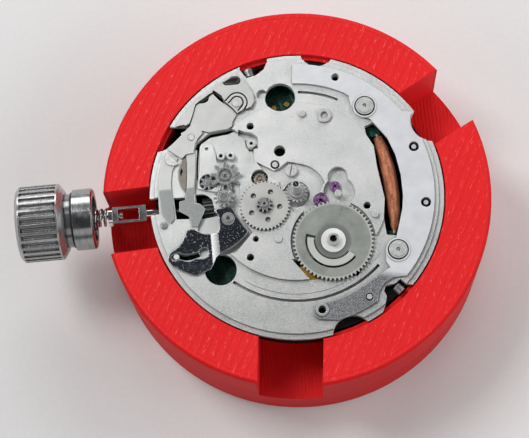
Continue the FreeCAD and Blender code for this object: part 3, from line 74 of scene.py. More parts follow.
class Graph:
    """A Principled material with short calls for its procedural detail."""

    def __init__(self, name, colour, roughness, metallic=0.0):
        self.material = bpy.data.materials.new(name)
        self.material.use_nodes = True
        self.tree = self.material.node_tree
        self.shader = self.tree.nodes["Principled BSDF"]
        self.set(self.shader, Base_Color=(*colour, 1.0), Roughness=roughness, Metallic=metallic)
        self.position = self.node("ShaderNodeTexCoord").outputs["Object"]

    def put(self, socket, value):
        """Link another node's output to a socket, or set the socket's own value."""
        if isinstance(value, bpy.types.NodeSocket):
            self.tree.links.new(value, socket)
        else:
            socket.default_value = value

    def set(self, node, **sockets):
        for name, value in sockets.items():
            self.put(node.inputs[name.replace("_", " ")], value)
        return node

    def node(self, kind, settings=None, **sockets):
        node = self.tree.nodes.new(kind)
        for name, value in (settings or {}).items():
            setattr(node, name, value)
        return self.set(node, **sockets)

    def math(self, operation, first, second=0.0, third=0.0):
        node = self.node("ShaderNodeMath", {"operation": operation})
        for socket, value in zip(node.inputs, (first, second, third)):
            self.put(socket, value)
        return node.outputs[0]

    def vector_math(self, operation, first, second=(0, 0, 0)):
        node = self.node("ShaderNodeVectorMath", {"operation": operation})
        self.put(node.inputs[0], first)
        self.put(node.inputs[1], second)
        return node.outputs

    def along(self, direction):
        """Distance in metres along a direction, from the origin."""
        return self.vector_math("DOT_PRODUCT", self.position, direction)["Value"]

    def from_axis(self, centre):
        """Distance in metres from an upright axis through centre."""
        offset = self.vector_math("SUBTRACT", self.position, centre)["Vector"]
        level = self.vector_math("MULTIPLY", offset, (1, 1, 0))["Vector"]
        return self.vector_math("LENGTH", level)["Value"]

    def waves(self, distance, pitch, sway):
        """0 to 1 ripples along a distance, shifted to and fro by a noise."""
        turns = self.math("MULTIPLY", distance, 2 * math.pi / pitch)
        turns = self.math("ADD", turns, self.math("MULTIPLY", self.noise(0.6 * MM), sway))
        return self.math("MULTIPLY_ADD", self.math("SINE", turns), 0.5, 0.5)

    def beads(self, distance, pitch):
        """Round strands laid side by side, with sharp valleys between them."""
        phase = self.math("FRACT", self.math("DIVIDE", distance, pitch))
        side = self.math("MULTIPLY_ADD", phase, 2.0, -1.0)
        return self.math("SUBTRACT", 1.0, self.math("POWER", self.math("ABSOLUTE", side), 2.5))

    def noise(self, size, stretch=(1, 1, 1), turn=0.0, detail=3.0):
        """Noise of a feature size; stretch lengthens it along its own axes, which turn about Z."""
        mapping = self.node("ShaderNodeMapping", {"vector_type": "TEXTURE"}, Vector=self.position)
        self.set(mapping, Rotation=(0, 0, turn), Scale=stretch)
        texture = self.node("ShaderNodeTexNoise", Vector=mapping.outputs["Vector"], Scale=1 / size)
        texture.inputs["Detail"].default_value = detail
        return texture.outputs["Fac"]

    def spread(self, value, low, high, start=0.0, end=1.0):
        """Map a value from start..end to low..high."""
        node = self.node("ShaderNodeMapRange", Value=value)
        self.set(node, From_Min=start, From_Max=end, To_Min=low, To_Max=high)
        return node.outputs["Result"]

    def mix(self, factor, first, second):
        """A colour between first and second; the Mix node keeps its colours in sockets 6 and 7."""
        node = self.node("ShaderNodeMix", {"data_type": "RGBA"})
        self.put(node.inputs[0], factor)
        for index, value in ((6, first), (7, second)):
            linked = isinstance(value, bpy.types.NodeSocket)
            self.put(node.inputs[index], value if linked else (*value, 1.0))
        return node.outputs[2]

    def facing_up(self):
        """1 on faces that look up, 0 on walls and undersides."""
        normal = self.node("ShaderNodeNewGeometry").outputs["True Normal"]
        height = self.node("ShaderNodeSeparateXYZ", Vector=normal).outputs["Z"]
        return self.spread(height, 0.0, 1.0, 0.6, 0.8)

    def bump(self, height, depth, strength=1.0, under=None):
        node = self.node("ShaderNodeBump", Height=height, Distance=depth, Strength=strength)
        if under is not None:
            self.set(node, Normal=under)
        return node.outputs["Normal"]

    def soft_edges(self, radius):
        """A normal that rounds every edge off by a radius."""
        return self.node("ShaderNodeBevel", {"samples": 4}, Radius=radius).outputs["Normal"]

    def painted_shade_mask(self, reach, start=0.25, end=0.9):
        """Mask for painted shade, from the ambient occlusion: 0 in a narrow gap or at the foot of a
        step, 1 out in the open.
        """
        node = self.node("ShaderNodeAmbientOcclusion", {"samples": 6}, Distance=reach)
        return self.spread(node.outputs["AO"], 0, 1, start, end)

    def rim(self, radius):
        """Mask for painted edge highlights: 1 along an edge, falling to 0 at the given distance from
        it.
        """
        flat = self.node("ShaderNodeNewGeometry").outputs["Normal"]
        match = self.vector_math("DOT_PRODUCT", self.soft_edges(radius), flat)["Value"]
        return self.spread(match, 1, 0, 0.75, 0.985)

    def finish(self, **sockets):
        """Set the shader's last sockets and return the material."""
        self.set(self.shader, **sockets)
        return self.material


# -------------------------------------------------------------------- materials


def printed_relief(g, across, radius, upward):
    """Height of the print: hatch and outlines on top, lines on slot floors, layers on walls."""
    height = g.along((0, 0, 1))
    strands = g.beads(across, STRAND)
    pairs = g.beads(across, 2 * STRAND)
    flow = g.spread(g.noise(0.16 * MM, (10, 1, 1), HATCH, 3), 0.45, 1.0, 0.3, 0.62)
    hatched = g.math("MULTIPLY_ADD", pairs, 0.6, g.math("MULTIPLY", strands, 0.4))
    hatched = g.math("MULTIPLY", hatched, flow)
    outer = g.spread(radius, 0, 1, RING_RADIUS - 0.9 * MM, RING_RADIUS - 0.84 * MM)
    inner = g.spread(radius, 1, 0, POCKET_RADIUS + 0.9 * MM, POCKET_RADIUS + 0.96 * MM)
    outlines = g.math("MULTIPLY", g.beads(radius, 0.42 * MM), 0.75)
    skin = g.mix(g.math("MAXIMUM", outer, inner), hatched, outlines)
    streaks = g.spread(g.noise(0.2 * MM, (1, 9, 1)), 0.3, 1.0, 0.35, 0.62)
    slot_floor = g.math("MULTIPLY", g.beads(g.along((1, 0, 0)), 0.36 * MM), streaks)
    flats = g.mix(g.spread(height, 0, 1, 8 * MM, 11 * MM), slot_floor, skin)
    walls = g.math("MULTIPLY", g.beads(height, LAYER), 0.5)
    return g.mix(upward, walls, flats)


def printed_colour(g, relief, across, radius, upward):
    """Red with painted highlights as pale broken streaks on the top skin's crests, the relief's crests
    painted lighter than its valleys, and a darker, banded outer wall in painted shade.
    """
    # Painted highlights: pale broken streaks along the strand crests of the top skin.
    broken_glint = g.spread(g.noise(0.085 * MM, (7, 1, 1), HATCH, 2), 0, 1, 0.6, 0.72)
    tops = g.spread(g.beads(across, 2 * STRAND), 0, 1, 0.7, 0.97)
    painted_crest_highlight = g.math("MULTIPLY", g.math("MULTIPLY", broken_glint, upward), tops)
    painted_crest_highlight = g.math("MULTIPLY", painted_crest_highlight, g.spread(g.along((0, 0, 1)), 0.0, 1.0, 8 * MM, 11.5 * MM))
    deep = g.mix(g.noise(5 * MM), (0.72, 0.015, 0.018), (0.84, 0.02, 0.024))
    # Painted light and shade: the relief's crests lighter, its valleys darker.
    colour = g.mix(g.math("MULTIPLY", relief, 0.3), deep, (0.92, 0.034, 0.036))
    colour = g.mix(g.math("MULTIPLY", painted_crest_highlight, 0.75), colour, (1.0, 0.2, 0.17))
    # Painted shade: the outer wall darker, in bands.
    painted_wall_shade = g.spread(radius, 0, 1, RING_RADIUS - 0.3 * MM, RING_RADIUS - 0.2 * MM)
    painted_wall_shade = g.math("MULTIPLY", painted_wall_shade, g.math("SUBTRACT", 1.0, upward))
    bands = g.spread(g.noise(0.45 * MM, (40, 40, 1), detail=2), 0, 1, 0.35, 0.65)
    return g.mix(painted_wall_shade, colour, g.mix(bands, (0.54, 0.005, 0.008), (0.68, 0.008, 0.012)))


def printed_plastic():
    """Red filament, laid in strands and layers."""
    g = Graph("printed_plastic", (0.85, 0.014, 0.016), 0.5)
    g.set(g.shader, Specular_IOR_Level=0.1)
    drift = g.math("MULTIPLY", g.noise(1.6 * MM), 0.16 * MM)
    across = g.math("ADD", g.along((math.sin(HATCH), -math.cos(HATCH), 0)), drift)
    radius = g.from_axis((0, 0, 0))
    upward = g.facing_up()
    relief = printed_relief(g, across, radius, upward)
    colour = printed_colour(g, relief, across, radius, upward)
    grain = g.noise(0.09 * MM, detail=4)
    normal = g.bump(relief, 0.035 * MM, 0.9, g.soft_edges(0.12 * MM))
    normal = g.bump(grain, 0.012 * MM, 0.6, normal)
    return g.finish(Base_Color=colour, Roughness=g.spread(relief, 0.62, 0.42), Normal=normal)


def plate_metal():
    """Nickel-plated main plate: fine matt grain, faint stains and small pits; painted shade growing
    towards the front, painted highlights on the edges, painted shade in gaps and at the foot of steps.
    """
    g = Graph("plate_metal", (0.7, 0.71, 0.7), 0.42, 0.55)
    grain = g.noise(0.085 * MM, detail=7)
    stain = g.noise(2.4 * MM, detail=5)
    pits = g.spread(g.noise(0.2 * MM, detail=2), 0, 1, 0.64, 0.72)
    # Painted shade: the plate's colour falls from the lit tone at the back to a dim tone at the front.
    painted_light_share = g.spread(g.along((0.1, 1, 0)), 0.25, 1.0, -12 * MM, 2 * MM)
    lit_plate = g.mix(g.spread(stain, 0, 1, 0.3, 0.7), (0.62, 0.64, 0.63), (0.8, 0.8, 0.785))
    tone_and_shade = g.mix(g.spread(stain, 0, 1, 0.3, 0.7), (0.27, 0.285, 0.275), (0.4, 0.405, 0.39))
    colour = g.mix(painted_light_share, tone_and_shade, lit_plate)
    colour = g.mix(g.spread(grain, 0, 0.5, 0.38, 0.68), colour, (0.9, 0.91, 0.9))
    colour = g.mix(g.math("MULTIPLY", pits, 0.4), colour, (0.28, 0.28, 0.27))
    # Painted highlights along the edges, painted shade in gaps and at the foot of steps.
    colour = g.mix(g.math("MULTIPLY", g.rim(0.1 * MM), 0.6), colour, (0.96, 0.97, 0.96))
    colour = g.mix(g.painted_shade_mask(0.33 * MM, 0.2, 0.8), (0.035, 0.033, 0.03), colour)
    normal = g.bump(grain, 0.03 * MM, 0.8, g.soft_edges(0.05 * MM))
    rough = g.spread(grain, 0.28, 0.5, 0.3, 0.7)
    return g.finish(Base_Color=colour, Roughness=rough, Normal=normal)


def brushed(name, colour, roughness, turn=0.0, metallic=0.6, shade=None, speckle=1.0):
    """Stamped sheet metal with a fine straight grain, painted highlights on the edges and painted shade
    in the gaps.

    shade = (direction, start, end, colour): beyond that distance, in mm, the colour takes over,
    speckled; painted shade on the side strip and the clamp, a darker tail on the guard plate.
    """
    g = Graph(name, colour, roughness, metallic)
    grain = g.noise(0.022 * MM, (12, 1, 1), turn, 3)
    blotch = g.noise(1.4 * MM, detail=5)
    dark = tuple(0.88 * channel for channel in colour)
    tone = g.mix(g.spread(blotch, 0, 1, 0.3, 0.7), dark, colour)
    # Beyond the line a darker, speckled colour: painted shade on the strip and clamp, the guard plate's
    # darker tail.
    if shade:
        direction, start, end, deep = shade
        reach = g.spread(g.along(direction), 0, 1, start * MM, end * MM)
        speck = g.math("MULTIPLY", g.spread(g.noise(0.08 * MM, detail=6), 0, 1, 0.42, 0.68), speckle)
        dim, lit = tuple(0.55 * c for c in deep), tuple(2.4 * c for c in deep)
        tone = g.mix(reach, tone, g.mix(speck, dim, lit))
    # Painted highlights along the edges, painted shade in the gaps.
    tone = g.mix(g.math("MULTIPLY", g.rim(0.11 * MM), 0.8), tone, (0.97, 0.97, 0.97))
    tone = g.mix(g.painted_shade_mask(0.35 * MM), (0.03, 0.03, 0.03), tone)
    normal = g.bump(grain, 0.002 * MM, 0.7, g.soft_edges(0.06 * MM))
    rough = g.spread(grain, roughness - 0.03, roughness + 0.04, 0.3, 0.7)
    return g.finish(Base_Color=tone, Roughness=rough, Normal=normal)


def turned_steel(name, dark, bright, reach=0.35):
    """Pins, heads and small wheels: satin faces, painted highlights on the edges, painted shade at the
    foot.
    """
    g = Graph(name, bright, 0.3, 0.55)
    grain = g.noise(0.05 * MM, detail=4)
    tone_and_shade = g.noise(0.35 * MM)
    colour = g.mix(g.spread(tone_and_shade, 0, 1, 0.35, 0.65), dark, bright)
    # Painted highlights along the edges, painted shade at the foot.
    colour = g.mix(g.math("MULTIPLY", g.rim(0.1 * MM), 0.85), colour, (0.95, 0.96, 0.95))
    colour = g.mix(g.painted_shade_mask(reach * MM, 0.3, 0.8), (0.035, 0.033, 0.03), colour)
    normal = g.bump(grain, 0.006 * MM, 0.7, g.soft_edges(0.06 * MM))
    return g.finish(Base_Color=colour, Roughness=g.spread(grain, 0.2, 0.42), Normal=normal)


def polished(name, colour, roughness):
    """Polished steel with hairline scratches and softly rounded edges."""
    g = Graph(name, colour, roughness, 1.0)
    hair = g.noise(0.03 * MM, (14, 1, 1), 0.6, 2)
    cross = g.noise(0.03 * MM, (14, 1, 1), 2.2, 2)
    marks = g.math("MULTIPLY", hair, cross)
    smudge = g.noise(0.8 * MM)
    normal = g.bump(marks, 0.002 * MM, 0.5, g.soft_edges(0.04 * MM))
    rough = g.spread(smudge, 0.6 * roughness, 1.5 * roughness, 0.3, 0.7)
    return g.finish(Roughness=rough, Normal=normal)


def mirror_steel():
    """Black-polished leaf with a dust of fine bright marks, a pale edge as a painted highlight, and a
    painted light gradient across its fold.
    """
    g = Graph("mirror_steel", (0.6, 0.63, 0.68), 0.05, 1.0)
    dust = g.spread(g.noise(0.075 * MM, detail=2), 0, 1, 0.66, 0.73)
    haze = g.noise(0.5 * MM, (3, 1, 1), 0.5)
    rim = g.rim(0.15 * MM)
    across = g.along((1, 0, 0))
    left, right = FOLD
    after_left = g.spread(across, 0, 1, left - 0.02 * MM, left + 0.02 * MM)
    before_right = g.spread(across, 1, 0, right - 0.02 * MM, right + 0.02 * MM)
    fold = g.math("MULTIPLY", after_left, before_right)
    # Painted light gradient: inside the fold the leaf is darker, darkening from its left side to its
    # right.
    fold_painted_gradient = g.mix(g.spread(across, 0, 1, left, right), (0.1, 0.1, 0.1), (0.03, 0.031, 0.033))
    steel = g.mix(fold, (0.34, 0.37, 0.43), fold_painted_gradient)
    # Pale where the dust lies; pale along the edges as a painted highlight.
    colour = g.mix(g.math("MAXIMUM", rim, g.math("MULTIPLY", dust, 0.6)), steel, (0.93, 0.94, 0.95))
    rough = g.math("ADD", g.spread(haze, 0.04, 0.12, 0.3, 0.7), g.math("MULTIPLY", dust, 0.4))
    normal = g.bump(dust, 0.006 * MM, 0.7, g.soft_edges(0.1 * MM))
    # Less metallic where the dust lies and along the edges, for the painted highlight.
    metal = g.math("SUBTRACT", 1.0, g.math("MULTIPLY", g.math("MAXIMUM", rim, dust), 0.6))
    return g.finish(Base_Color=colour, Roughness=rough, Metallic=metal, Normal=normal)


def crown_steel(name, dark, bright, metallic, edge):
    """Turned steel, finely brushed round the stem's axis, with painted shade in the grooves and painted
    highlights on the edges.
    """
    g = Graph(name, bright, 0.2, metallic)
    rings = g.noise(0.04 * MM, (1, 40, 40), 0, 3)
    wear = g.noise(1.0 * MM)
    tone = g.mix(g.spread(rings, 0, 1, 0.35, 0.65), dark, bright)
    # Painted highlights along the edges, painted shade in the grooves.
    tone = g.mix(g.math("MULTIPLY", g.rim(edge * MM), 0.7), tone, (0.9, 0.9, 0.9))
    tone = g.mix(g.painted_shade_mask(0.6 * MM, 0.5, 0.92), (0.012, 0.012, 0.012), tone)
    normal = g.bump(rings, 0.004 * MM, 0.7, g.soft_edges(0.06 * MM))
    return g.finish(Base_Color=tone, Roughness=g.spread(wear, 0.16, 0.3, 0.3, 0.7), Normal=normal)


def black_plastic():
    """Moulded black frame with a fine spark-eroded texture."""
    g = Graph("black_plastic", (0.004, 0.004, 0.005), 0.6)
    g.set(g.shader, Specular_IOR_Level=0.12)
    grain = g.noise(0.08 * MM, detail=4)
    colour = g.mix(g.noise(1.5 * MM), (0.003, 0.003, 0.004), (0.009, 0.009, 0.010))
    normal = g.bump(grain, 0.01 * MM, 0.6)
    return g.finish(Base_Color=colour, Roughness=g.spread(grain, 0.5, 0.72), Normal=normal)


def circuit_green():
    """Dark solder mask over copper tracks."""
    g = Graph("circuit_green", (0.004, 0.05, 0.032), 0.26)
    tracks = g.waves(g.along((0.94, 0.34, 0)), 1.3 * MM, 2.2)
    lines = g.spread(tracks, 0, 1, 0.84, 0.9)
    weave = g.noise(0.2 * MM)
    base = g.mix(weave, (0.002, 0.026, 0.018), (0.005, 0.06, 0.04))
    colour = g.mix(g.math("MULTIPLY", lines, 0.6), base, (0.012, 0.12, 0.075))
    normal = g.bump(lines, 0.02 * MM, 0.6)
    return g.finish(Base_Color=colour, Roughness=g.spread(weave, 0.2, 0.36), Normal=normal)


def copper_wire():
    """Enamelled copper: painted highlights in fine bright streaks, painted shade in darker streaks
    along the coil and in the valleys.
    """
    g = Graph("copper_wire", (0.8, 0.3, 0.14), 0.3, 0.65)
    shade_streaks = g.noise(0.3 * MM, (1, 4, 1), 0.1)
    fine = g.noise(0.06 * MM, (4, 1, 1), 0.05)
    # Painted shade in darker streaks along the coil, painted highlights in fine bright streaks, painted
    # shade in the valleys.
    colour = g.mix(g.spread(shade_streaks, 0, 1, 0.35, 0.65), (0.36, 0.09, 0.035), (0.86, 0.33, 0.17))
    colour = g.mix(g.spread(fine, 0, 0.6, 0.42, 0.68), colour, (1.0, 0.58, 0.38))
    colour = g.mix(g.painted_shade_mask(0.3 * MM, 0.2, 0.7), (0.12, 0.02, 0.008), colour)
    normal = g.bump(fine, 0.008 * MM, 0.7)
    return g.finish(Base_Color=colour, Roughness=g.spread(shade_streaks, 0.26, 0.44), Normal=normal)


def warm_metal(name, colour, roughness, metallic=0.8):
    """Brass or bronze with a soft grain, a little tarnish and painted highlights on the edges."""
    g = Graph(name, colour, roughness, metallic)
    tarnish = g.noise(0.7 * MM)
    grain = g.noise(0.05 * MM, (6, 1, 1), 0.8)
    dark = tuple(0.6 * channel for channel in colour)
    # Painted highlights along the edges, over the tarnish.
    tone = g.mix(g.rim(0.06 * MM), g.mix(tarnish, dark, colour), tuple(min(1, 1.4 * c) for c in colour))
    normal = g.bump(grain, 0.004 * MM, 0.7, g.soft_edges(0.04 * MM))
    rough = g.spread(grain, roughness - 0.08, roughness + 0.1)
    return g.finish(Base_Color=tone, Roughness=rough, Normal=normal)


def ruby():
    """Synthetic ruby, purple under white light, with a polished rim round its oil sink."""
    g = Graph("ruby", (0.25, 0.07, 0.26), 0.08)
    cloud = g.noise(0.2 * MM)
    colour = g.mix(g.spread(cloud, 0, 1, 0.35, 0.65), (0.09, 0.02, 0.12), (0.46, 0.24, 0.5))
    g.set(g.shader, Transmission_Weight=0.25, IOR=1.76)
    normal = g.bump(cloud, 0.004 * MM, 0.4, g.soft_edges(0.05 * MM))
    return g.finish(Base_Color=colour, Roughness=g.spread(cloud, 0.05, 0.14), Normal=normal)


def clear_nylon():
    """Milky wheel plastic: greyer web, paler teeth and spring arm, painted shade in the gaps."""
    g = Graph("clear_nylon", (0.42, 0.44, 0.41), 0.3)
    flow = g.noise(1.1 * MM, detail=4)
    radius = g.from_axis(COUNTER_CENTRE)
    rings = g.waves(radius, 0.16 * MM, 0.2)
    web = g.mix(g.spread(flow, 0, 1, 0.3, 0.7), (0.27, 0.285, 0.265), (0.38, 0.4, 0.37))
    collar = g.spread(radius, 1, 0, 1.5 * MM, 1.68 * MM)
    web = g.mix(collar, web, (0.2, 0.215, 0.205))
    teeth = g.spread(radius, 0, 1, 3.42 * MM, 3.52 * MM)
    raised = g.spread(g.along((0, 0, 1)), 0, 1, COUNTER_TOP - 0.05 * MM, COUNTER_TOP - 0.03 * MM)
    pale = g.math("MAXIMUM", g.math("MULTIPLY", teeth, 0.55), g.math("MULTIPLY", raised, 0.8))
    colour = g.mix(pale, web, (0.68, 0.7, 0.66))
    # Painted shade in gaps and at the foot of steps.
    colour = g.mix(g.painted_shade_mask(0.3 * MM), (0.06, 0.062, 0.05), colour)
    g.set(g.shader, Transmission_Weight=0.12, IOR=1.45)
    normal = g.bump(rings, 0.004 * MM, 0.5, g.soft_edges(0.06 * MM))
    return g.finish(Base_Color=colour, Roughness=g.spread(flow, 0.22, 0.4), Normal=normal)


def white_nylon():
    """Opaque white hub of the counter wheel."""
    g = Graph("white_nylon", (0.84, 0.85, 0.83), 0.34)
    flow = g.noise(0.4 * MM)
    colour = g.mix(flow, (0.76, 0.77, 0.75), (0.9, 0.905, 0.89))
    normal = g.bump(g.noise(0.07 * MM, detail=4), 0.006 * MM, 0.5, g.soft_edges(0.06 * MM))
    return g.finish(Base_Color=colour, Roughness=g.spread(flow, 0.28, 0.42), Normal=normal)


def rubber():
    """Black moulded rubber with a dusty surface."""
    g = Graph("rubber", (0.015, 0.015, 0.015), 0.7)
    grain = g.noise(0.06 * MM, detail=5)
    colour = g.mix(g.noise(0.6 * MM), (0.01, 0.01, 0.01), (0.03, 0.03, 0.03))
    normal = g.bump(grain, 0.01 * MM, 0.8)
    return g.finish(Base_Color=colour, Roughness=g.spread(grain, 0.6, 0.85), Normal=normal)


# --------------------------------------------------------------------- dressing


def dress(material, *nodes):
    """Give CAD nodes a material."""
    for name in nodes:
        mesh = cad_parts[name].data
        mesh.materials.clear()
        mesh.materials.append(material)


def dress_sheet_metal():
    """Plates, springs and levers; beyond a line some take a darker colour: painted shade on the lever
    steel, where the real side strip bends down, and on the clamp's lower faces, and a darker tail on
    the guard plate.
    """
    # Painted shade: the strip and clamp shades darken the sheet beyond a line; the guard shade gives
    # its tail a darker colour.
    guard_shade = ((0.25, 1, 0), -6.2, -6.9, (0.2, 0.205, 0.215))
    strip_shade = ((0, 1, 0), 1.6, 1.4, (0.62, 0.65, 0.64))
    clamp_shade = ((0, 0, -1), -12.71, -12.5, (0.08, 0.07, 0.06))
    guard = brushed("guard_steel", (0.86, 0.87, 0.9), 0.4, 1.45, 0.35, guard_shade)
    clamp = brushed("clamp_steel", (0.8, 0.81, 0.79), 0.34, 0.5, 0.5, clamp_shade, 0.1)
    lever = brushed("lever_steel", (0.8, 0.81, 0.78), 0.32, 1.5, 0.5, strip_shade, 0.12)
    dress(plate_metal(), "main_plate", "wheel_bridge")
    dress(guard, "guard_plate")
    dress(brushed("cover_steel", (0.8, 0.81, 0.79), 0.34, 0.5, 0.5), "cover_plate")
    dress(clamp, "cover_clamp")
    dress(lever, "yoke", "side_strip")
    dress(brushed("back_steel", (0.6, 0.6, 0.6), 0.35, 0.2), "back_cover")
    dress(brushed("wheel_steel", (0.74, 0.74, 0.71), 0.34, 0.9, 0.5), "minute_wheel")
    dress(mirror_steel(), "setting_lever_spring")
    dress(warm_metal("bronze", (0.46, 0.43, 0.37), 0.3), "yoke_spring")


def dress_turned_parts():
    """Pins, screws, posts, pinions and small wheels."""
    bright = turned_steel("turned_steel", (0.74, 0.75, 0.73), (0.92, 0.93, 0.92))
    satin = turned_steel("wheel_satin", (0.2, 0.205, 0.21), (0.4, 0.405, 0.41), 0.25)
    pipe = turned_steel("pipe_steel", (0.5, 0.5, 0.5), (0.7, 0.7, 0.7), 0.9)
    dress(bright, "battery", "centre_screw", "guard_screws", "plate_rivets", "guard_pins")
    dress(bright, "locating_posts", "yoke_pin", "lever_pin", "strip_cap", "hand_tube", "plate_nut")
    dress(satin, "minute_pinion", "star_wheel", "setting_wheel", "idler_wheel", "clutch_pinion")
    dress(satin, "spring_rivet", "strip_screw", "casing_screws")
    dress(pipe, "counter_pipe", "cannon_pinion", "guard_eyelet")
    dress(warm_metal("train_steel", (0.62, 0.54, 0.44), 0.28), "train_wheel")
    dress(ruby(), "large_jewel", "small_jewel")


def dress_mouldings_and_circuit():
    """Plastic pieces, the circuit and the coil's core."""
    dress(printed_plastic(), "holder_ring")
    dress(black_plastic(), "movement_body")
    dress(clear_nylon(), "counter_wheel")
    dress(white_nylon(), "counter_hub")
    dress(circuit_green(), "circuit_board", "coil_terminals")
    dress(warm_metal("core_iron", (0.32, 0.28, 0.24), 0.4), "coil_core")
    dress(warm_metal("brass", (0.95, 0.55, 0.1), 0.34, 0.5), "brass_contact")
    dress(warm_metal("gold_pad", (0.95, 0.6, 0.16), 0.25), "board_pads")


def dress_stem_and_crown():
    polish = polished("polished_steel", (0.76, 0.76, 0.75), 0.14)
    sleeve = crown_steel("sleeve_steel", (0.27, 0.275, 0.28), (0.45, 0.45, 0.455), 1.0, 0.06)
    head = crown_steel("crown_steel", (0.3, 0.3, 0.305), (0.5, 0.5, 0.505), 0.75, 0.09)
    dress(polish, "winding_stem", "stem_coupler", "crown_rod", "second_arbor")
    dress(sleeve, "crown_sleeve")
    dress(head, "crown_head")
    dress(rubber(), "crown_gasket")


# ------------------------------------------------------------------- wound wire


def ring_of(bm, middle, first, second, radius, sides):
    """Vertices round a circle spanned by two unit directions."""
    ring = []
    for side in range(sides):
        turn = 2 * math.pi * side / sides
        ring.append(bm.verts.new(middle + (first * math.cos(turn) + second * math.sin(turn)) * radius))
    return ring


def skin(bm, rings):
    """Close a row of rings into a capped tube."""
    for before, after in zip(rings, rings[1:]):
        for side in range(len(before)):
            nearby = (side + 1) % len(before)
            bm.faces.new((before[side], before[nearby], after[nearby], after[side]))
    bm.faces.new(list(reversed(rings[0])))
    bm.faces.new(rings[-1])


def smooth_piece(name, bm, material):
    """Turn a bmesh into a smooth-shaded object."""
    bmesh.ops.recalc_face_normals(bm, faces=bm.faces)
    mesh = bpy.data.meshes.new(name)
    bm.to_mesh(mesh)
    bm.free()
    mesh.polygons.foreach_set("use_smooth", [True] * len(mesh.polygons))
    mesh.materials.append(material)
    piece = bpy.data.objects.new(name, mesh)
    bpy.context.scene.collection.objects.link(piece)
    return piece


def swollen_radius(share):
    """Radius of the coil at a share of its length: thin at the ends, widest past the middle."""
    swell = [(0, 0.2), (0.08, 0.42), (0.22, 0.6), (0.42, 0.7), (0.64, 0.72), (0.85, 0.62), (1, 0.44)]
    for (a, r_a), (b, r_b) in zip(swell, swell[1:]):
        if share <= b:
            ease = (share - a) / (b - a)
            return (r_a + (r_b - r_a) * ease * ease * (3 - 2 * ease)) * MM
    return swell[-1][1] * MM


def coil_turns():
    """Fine wire wound round the bowed core, turn against turn, over a lacquered inner layer."""
    low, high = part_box("coil_winding")
    bow, first, last = 24.4 * MM, math.radians(-7.3), math.radians(14.9)
    widest, lean = 0.69 * MM, 0.044 * MM
    wire, turns, steps, sides = 0.055 * MM, 84, 14, 5
    rows, row_sides = 40, 20
    heart_x = high[0] - bow - widest
    heart_y = 0.5 * (low[1] + high[1]) - 0.5 * bow * (math.sin(first) + math.sin(last)) - lean
    level = 0.5 * (low[2] + high[2])

    def point(share, spin, radius):
        angle = first + (last - first) * share
        outward = Vector((math.cos(angle), math.sin(angle), 0))
        reach = outward * (bow + radius * math.cos(spin))
        return Vector((heart_x, heart_y, level + radius * math.sin(spin))) + reach

    bm = bmesh.new()
    rings = []
    margin = 0.012
    for index in range(turns * steps + 1):
        share = margin + (1 - 2 * margin) * index / (turns * steps)
        spin = 2 * math.pi * index / steps
        radius = swollen_radius(share) - wire
        middle = point(share, spin, radius)
        away = (point(share, spin, radius * 1.1) - middle).normalized()
        along = (point(share + 0.004, spin, radius) - point(share - 0.004, spin, radius)).normalized()
        rings.append(ring_of(bm, middle, away, along, wire, sides))
    skin(bm, rings)
    shells = []
    margin = 0.004
    for index in range(rows + 1):
        share = margin + (1 - 2 * margin) * index / rows
        radius = swollen_radius(share) - 1.3 * wire
        spins = [2 * math.pi * side / row_sides for side in range(row_sides)]
        shells.append([bm.verts.new(point(share, spin, radius)) for spin in spins])
    skin(bm, shells)
    piece = smooth_piece("coil_turns", bm, copper_wire())
    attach(piece, "movement")
    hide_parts("coil_winding")


def crown_coil():
    """The crown's spring as round wire, attached to the stem's body; the real spring shortens towards
    the stem when the crown is pressed, this coil keeps its length.
    """
    low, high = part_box("crown_spring")
    outer, wire, turns, steps, sides = 0.9 * MM, 0.14 * MM, 5, 40, 12
    heart = 0.5 * (low + high)
    start = high[0] - wire
    length = high[0] - low[0] - 2 * wire
    bm = bmesh.new()
    rings = []
    for index in range(turns * steps + 1):
        angle = 2 * math.pi * index / steps
        away = Vector((0, math.cos(angle), math.sin(angle)))
        axis_point = Vector((start - length * index / (turns * steps), heart[1], heart[2]))
        middle = axis_point + away * (outer - wire)
        rings.append(ring_of(bm, middle, away, Vector((1, 0, 0)), wire, sides))
    skin(bm, rings)
    piece = smooth_piece("crown_coil", bm, polished("spring_steel", (0.4, 0.39, 0.38), 0.2))
    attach(piece, "stem")
    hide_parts("crown_spring")
    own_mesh(piece)


# ------------------------------------------------------- floor, light and camera


def floor():
    """Pale bench top, with a faint paper grain."""
    mesh = bpy.data.meshes.new("floor")
    half = 1.5  # metres, far beyond the picture
    corners = [(-half, -half, 0), (half, -half, 0), (half, half, 0), (-half, half, 0)]
    mesh.from_pydata(corners, [], [(0, 1, 2, 3)])
    bench = bpy.data.objects.new("floor", mesh)
    bpy.context.scene.collection.objects.link(bench)
    g = Graph("floor", (0.78, 0.78, 0.77), 0.7)
    grain = g.noise(0.4 * MM, detail=4)
    colour = g.mix(grain, (0.74, 0.74, 0.735), (0.8, 0.8, 0.795))
    mesh.materials.append(g.finish(Base_Color=colour, Normal=g.bump(grain, 0.01 * MM, 0.3)))


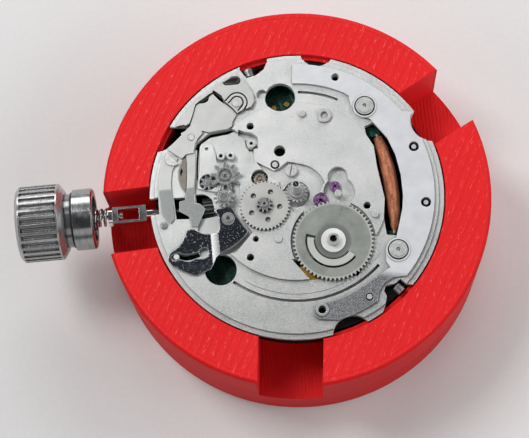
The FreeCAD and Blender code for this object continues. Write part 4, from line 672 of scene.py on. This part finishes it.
def softbox(name, direction, size, power):
    """A white area light that looks at the movement."""
    light = bpy.data.lights.new(name, "AREA")
    light.shape = "RECTANGLE"
    light.size, light.size_y = size
    light.energy = power
    lamp = bpy.data.objects.new(name, light)
    aim = Vector(direction).normalized()
    lamp.location = aim * LAMP_DISTANCE + Vector((0, 0, 10 * MM))
    lamp.rotation_euler = aim.to_track_quat("Z", "Y").to_euler()
    bpy.context.scene.collection.objects.link(lamp)


def lighting():
    """Six soft lights under a dim grey sky."""
    world = bpy.data.worlds.new("studio")
    world.use_nodes = True
    world.node_tree.nodes["Background"].inputs["Color"].default_value = (0.8, 0.82, 0.86, 1)
    world.node_tree.nodes["Background"].inputs["Strength"].default_value = 0.07
    bpy.context.scene.world = world
    softbox("key", (-0.46, 0.34, 0.82), (0.15, 0.15), 0.72)
    softbox("back", (0.15, 0.95, 0.5), (0.4, 0.2), 0.95)
    softbox("fill_left", (-0.95, -0.2, 0.5), (0.3, 0.25), 0.42)
    softbox("fill_right", (0.95, 0.0, 0.55), (0.3, 0.25), 0.66)
    softbox("front", (0.1, -0.95, 0.5), (0.4, 0.2), 0.16)
    softbox("low_right", (0.75, -0.55, 0.5), (0.3, 0.25), 0.3)
    bpy.context.scene.view_settings.view_transform = "Standard"


def camera():
    """Steep view from the front, a little off square to the winding stem."""
    elevation = math.radians(75.07)
    swing = math.radians(2.3)
    roll = math.radians(-7.49)
    distance = 180 * MM
    target = Vector((-3.32, 1.14, 0)) * MM
    spin = Matrix.Rotation(swing, 3, "Z")
    back = spin @ Vector((0, -math.cos(elevation), math.sin(elevation)))
    side = spin @ Vector((1, 0, 0))
    upward = back.cross(side)
    right = side * math.cos(roll) + upward * math.sin(roll)
    above = upward * math.cos(roll) - side * math.sin(roll)
    view = bpy.data.cameras.new("camera")
    view.sensor_width = 36
    view.lens = 121.9
    view.clip_start = 0.01
    eye = bpy.data.objects.new("camera", view)
    turn = Matrix((right, above, back)).transposed()
    eye.matrix_world = Matrix.Translation(target + back * distance) @ turn.to_4x4()
    bpy.context.scene.collection.objects.link(eye)
    bpy.context.scene.camera = eye


dress_sheet_metal()
dress_turned_parts()
dress_mouldings_and_circuit()
dress_stem_and_crown()
coil_turns()
crown_coil()
floor()
lighting()
camera()
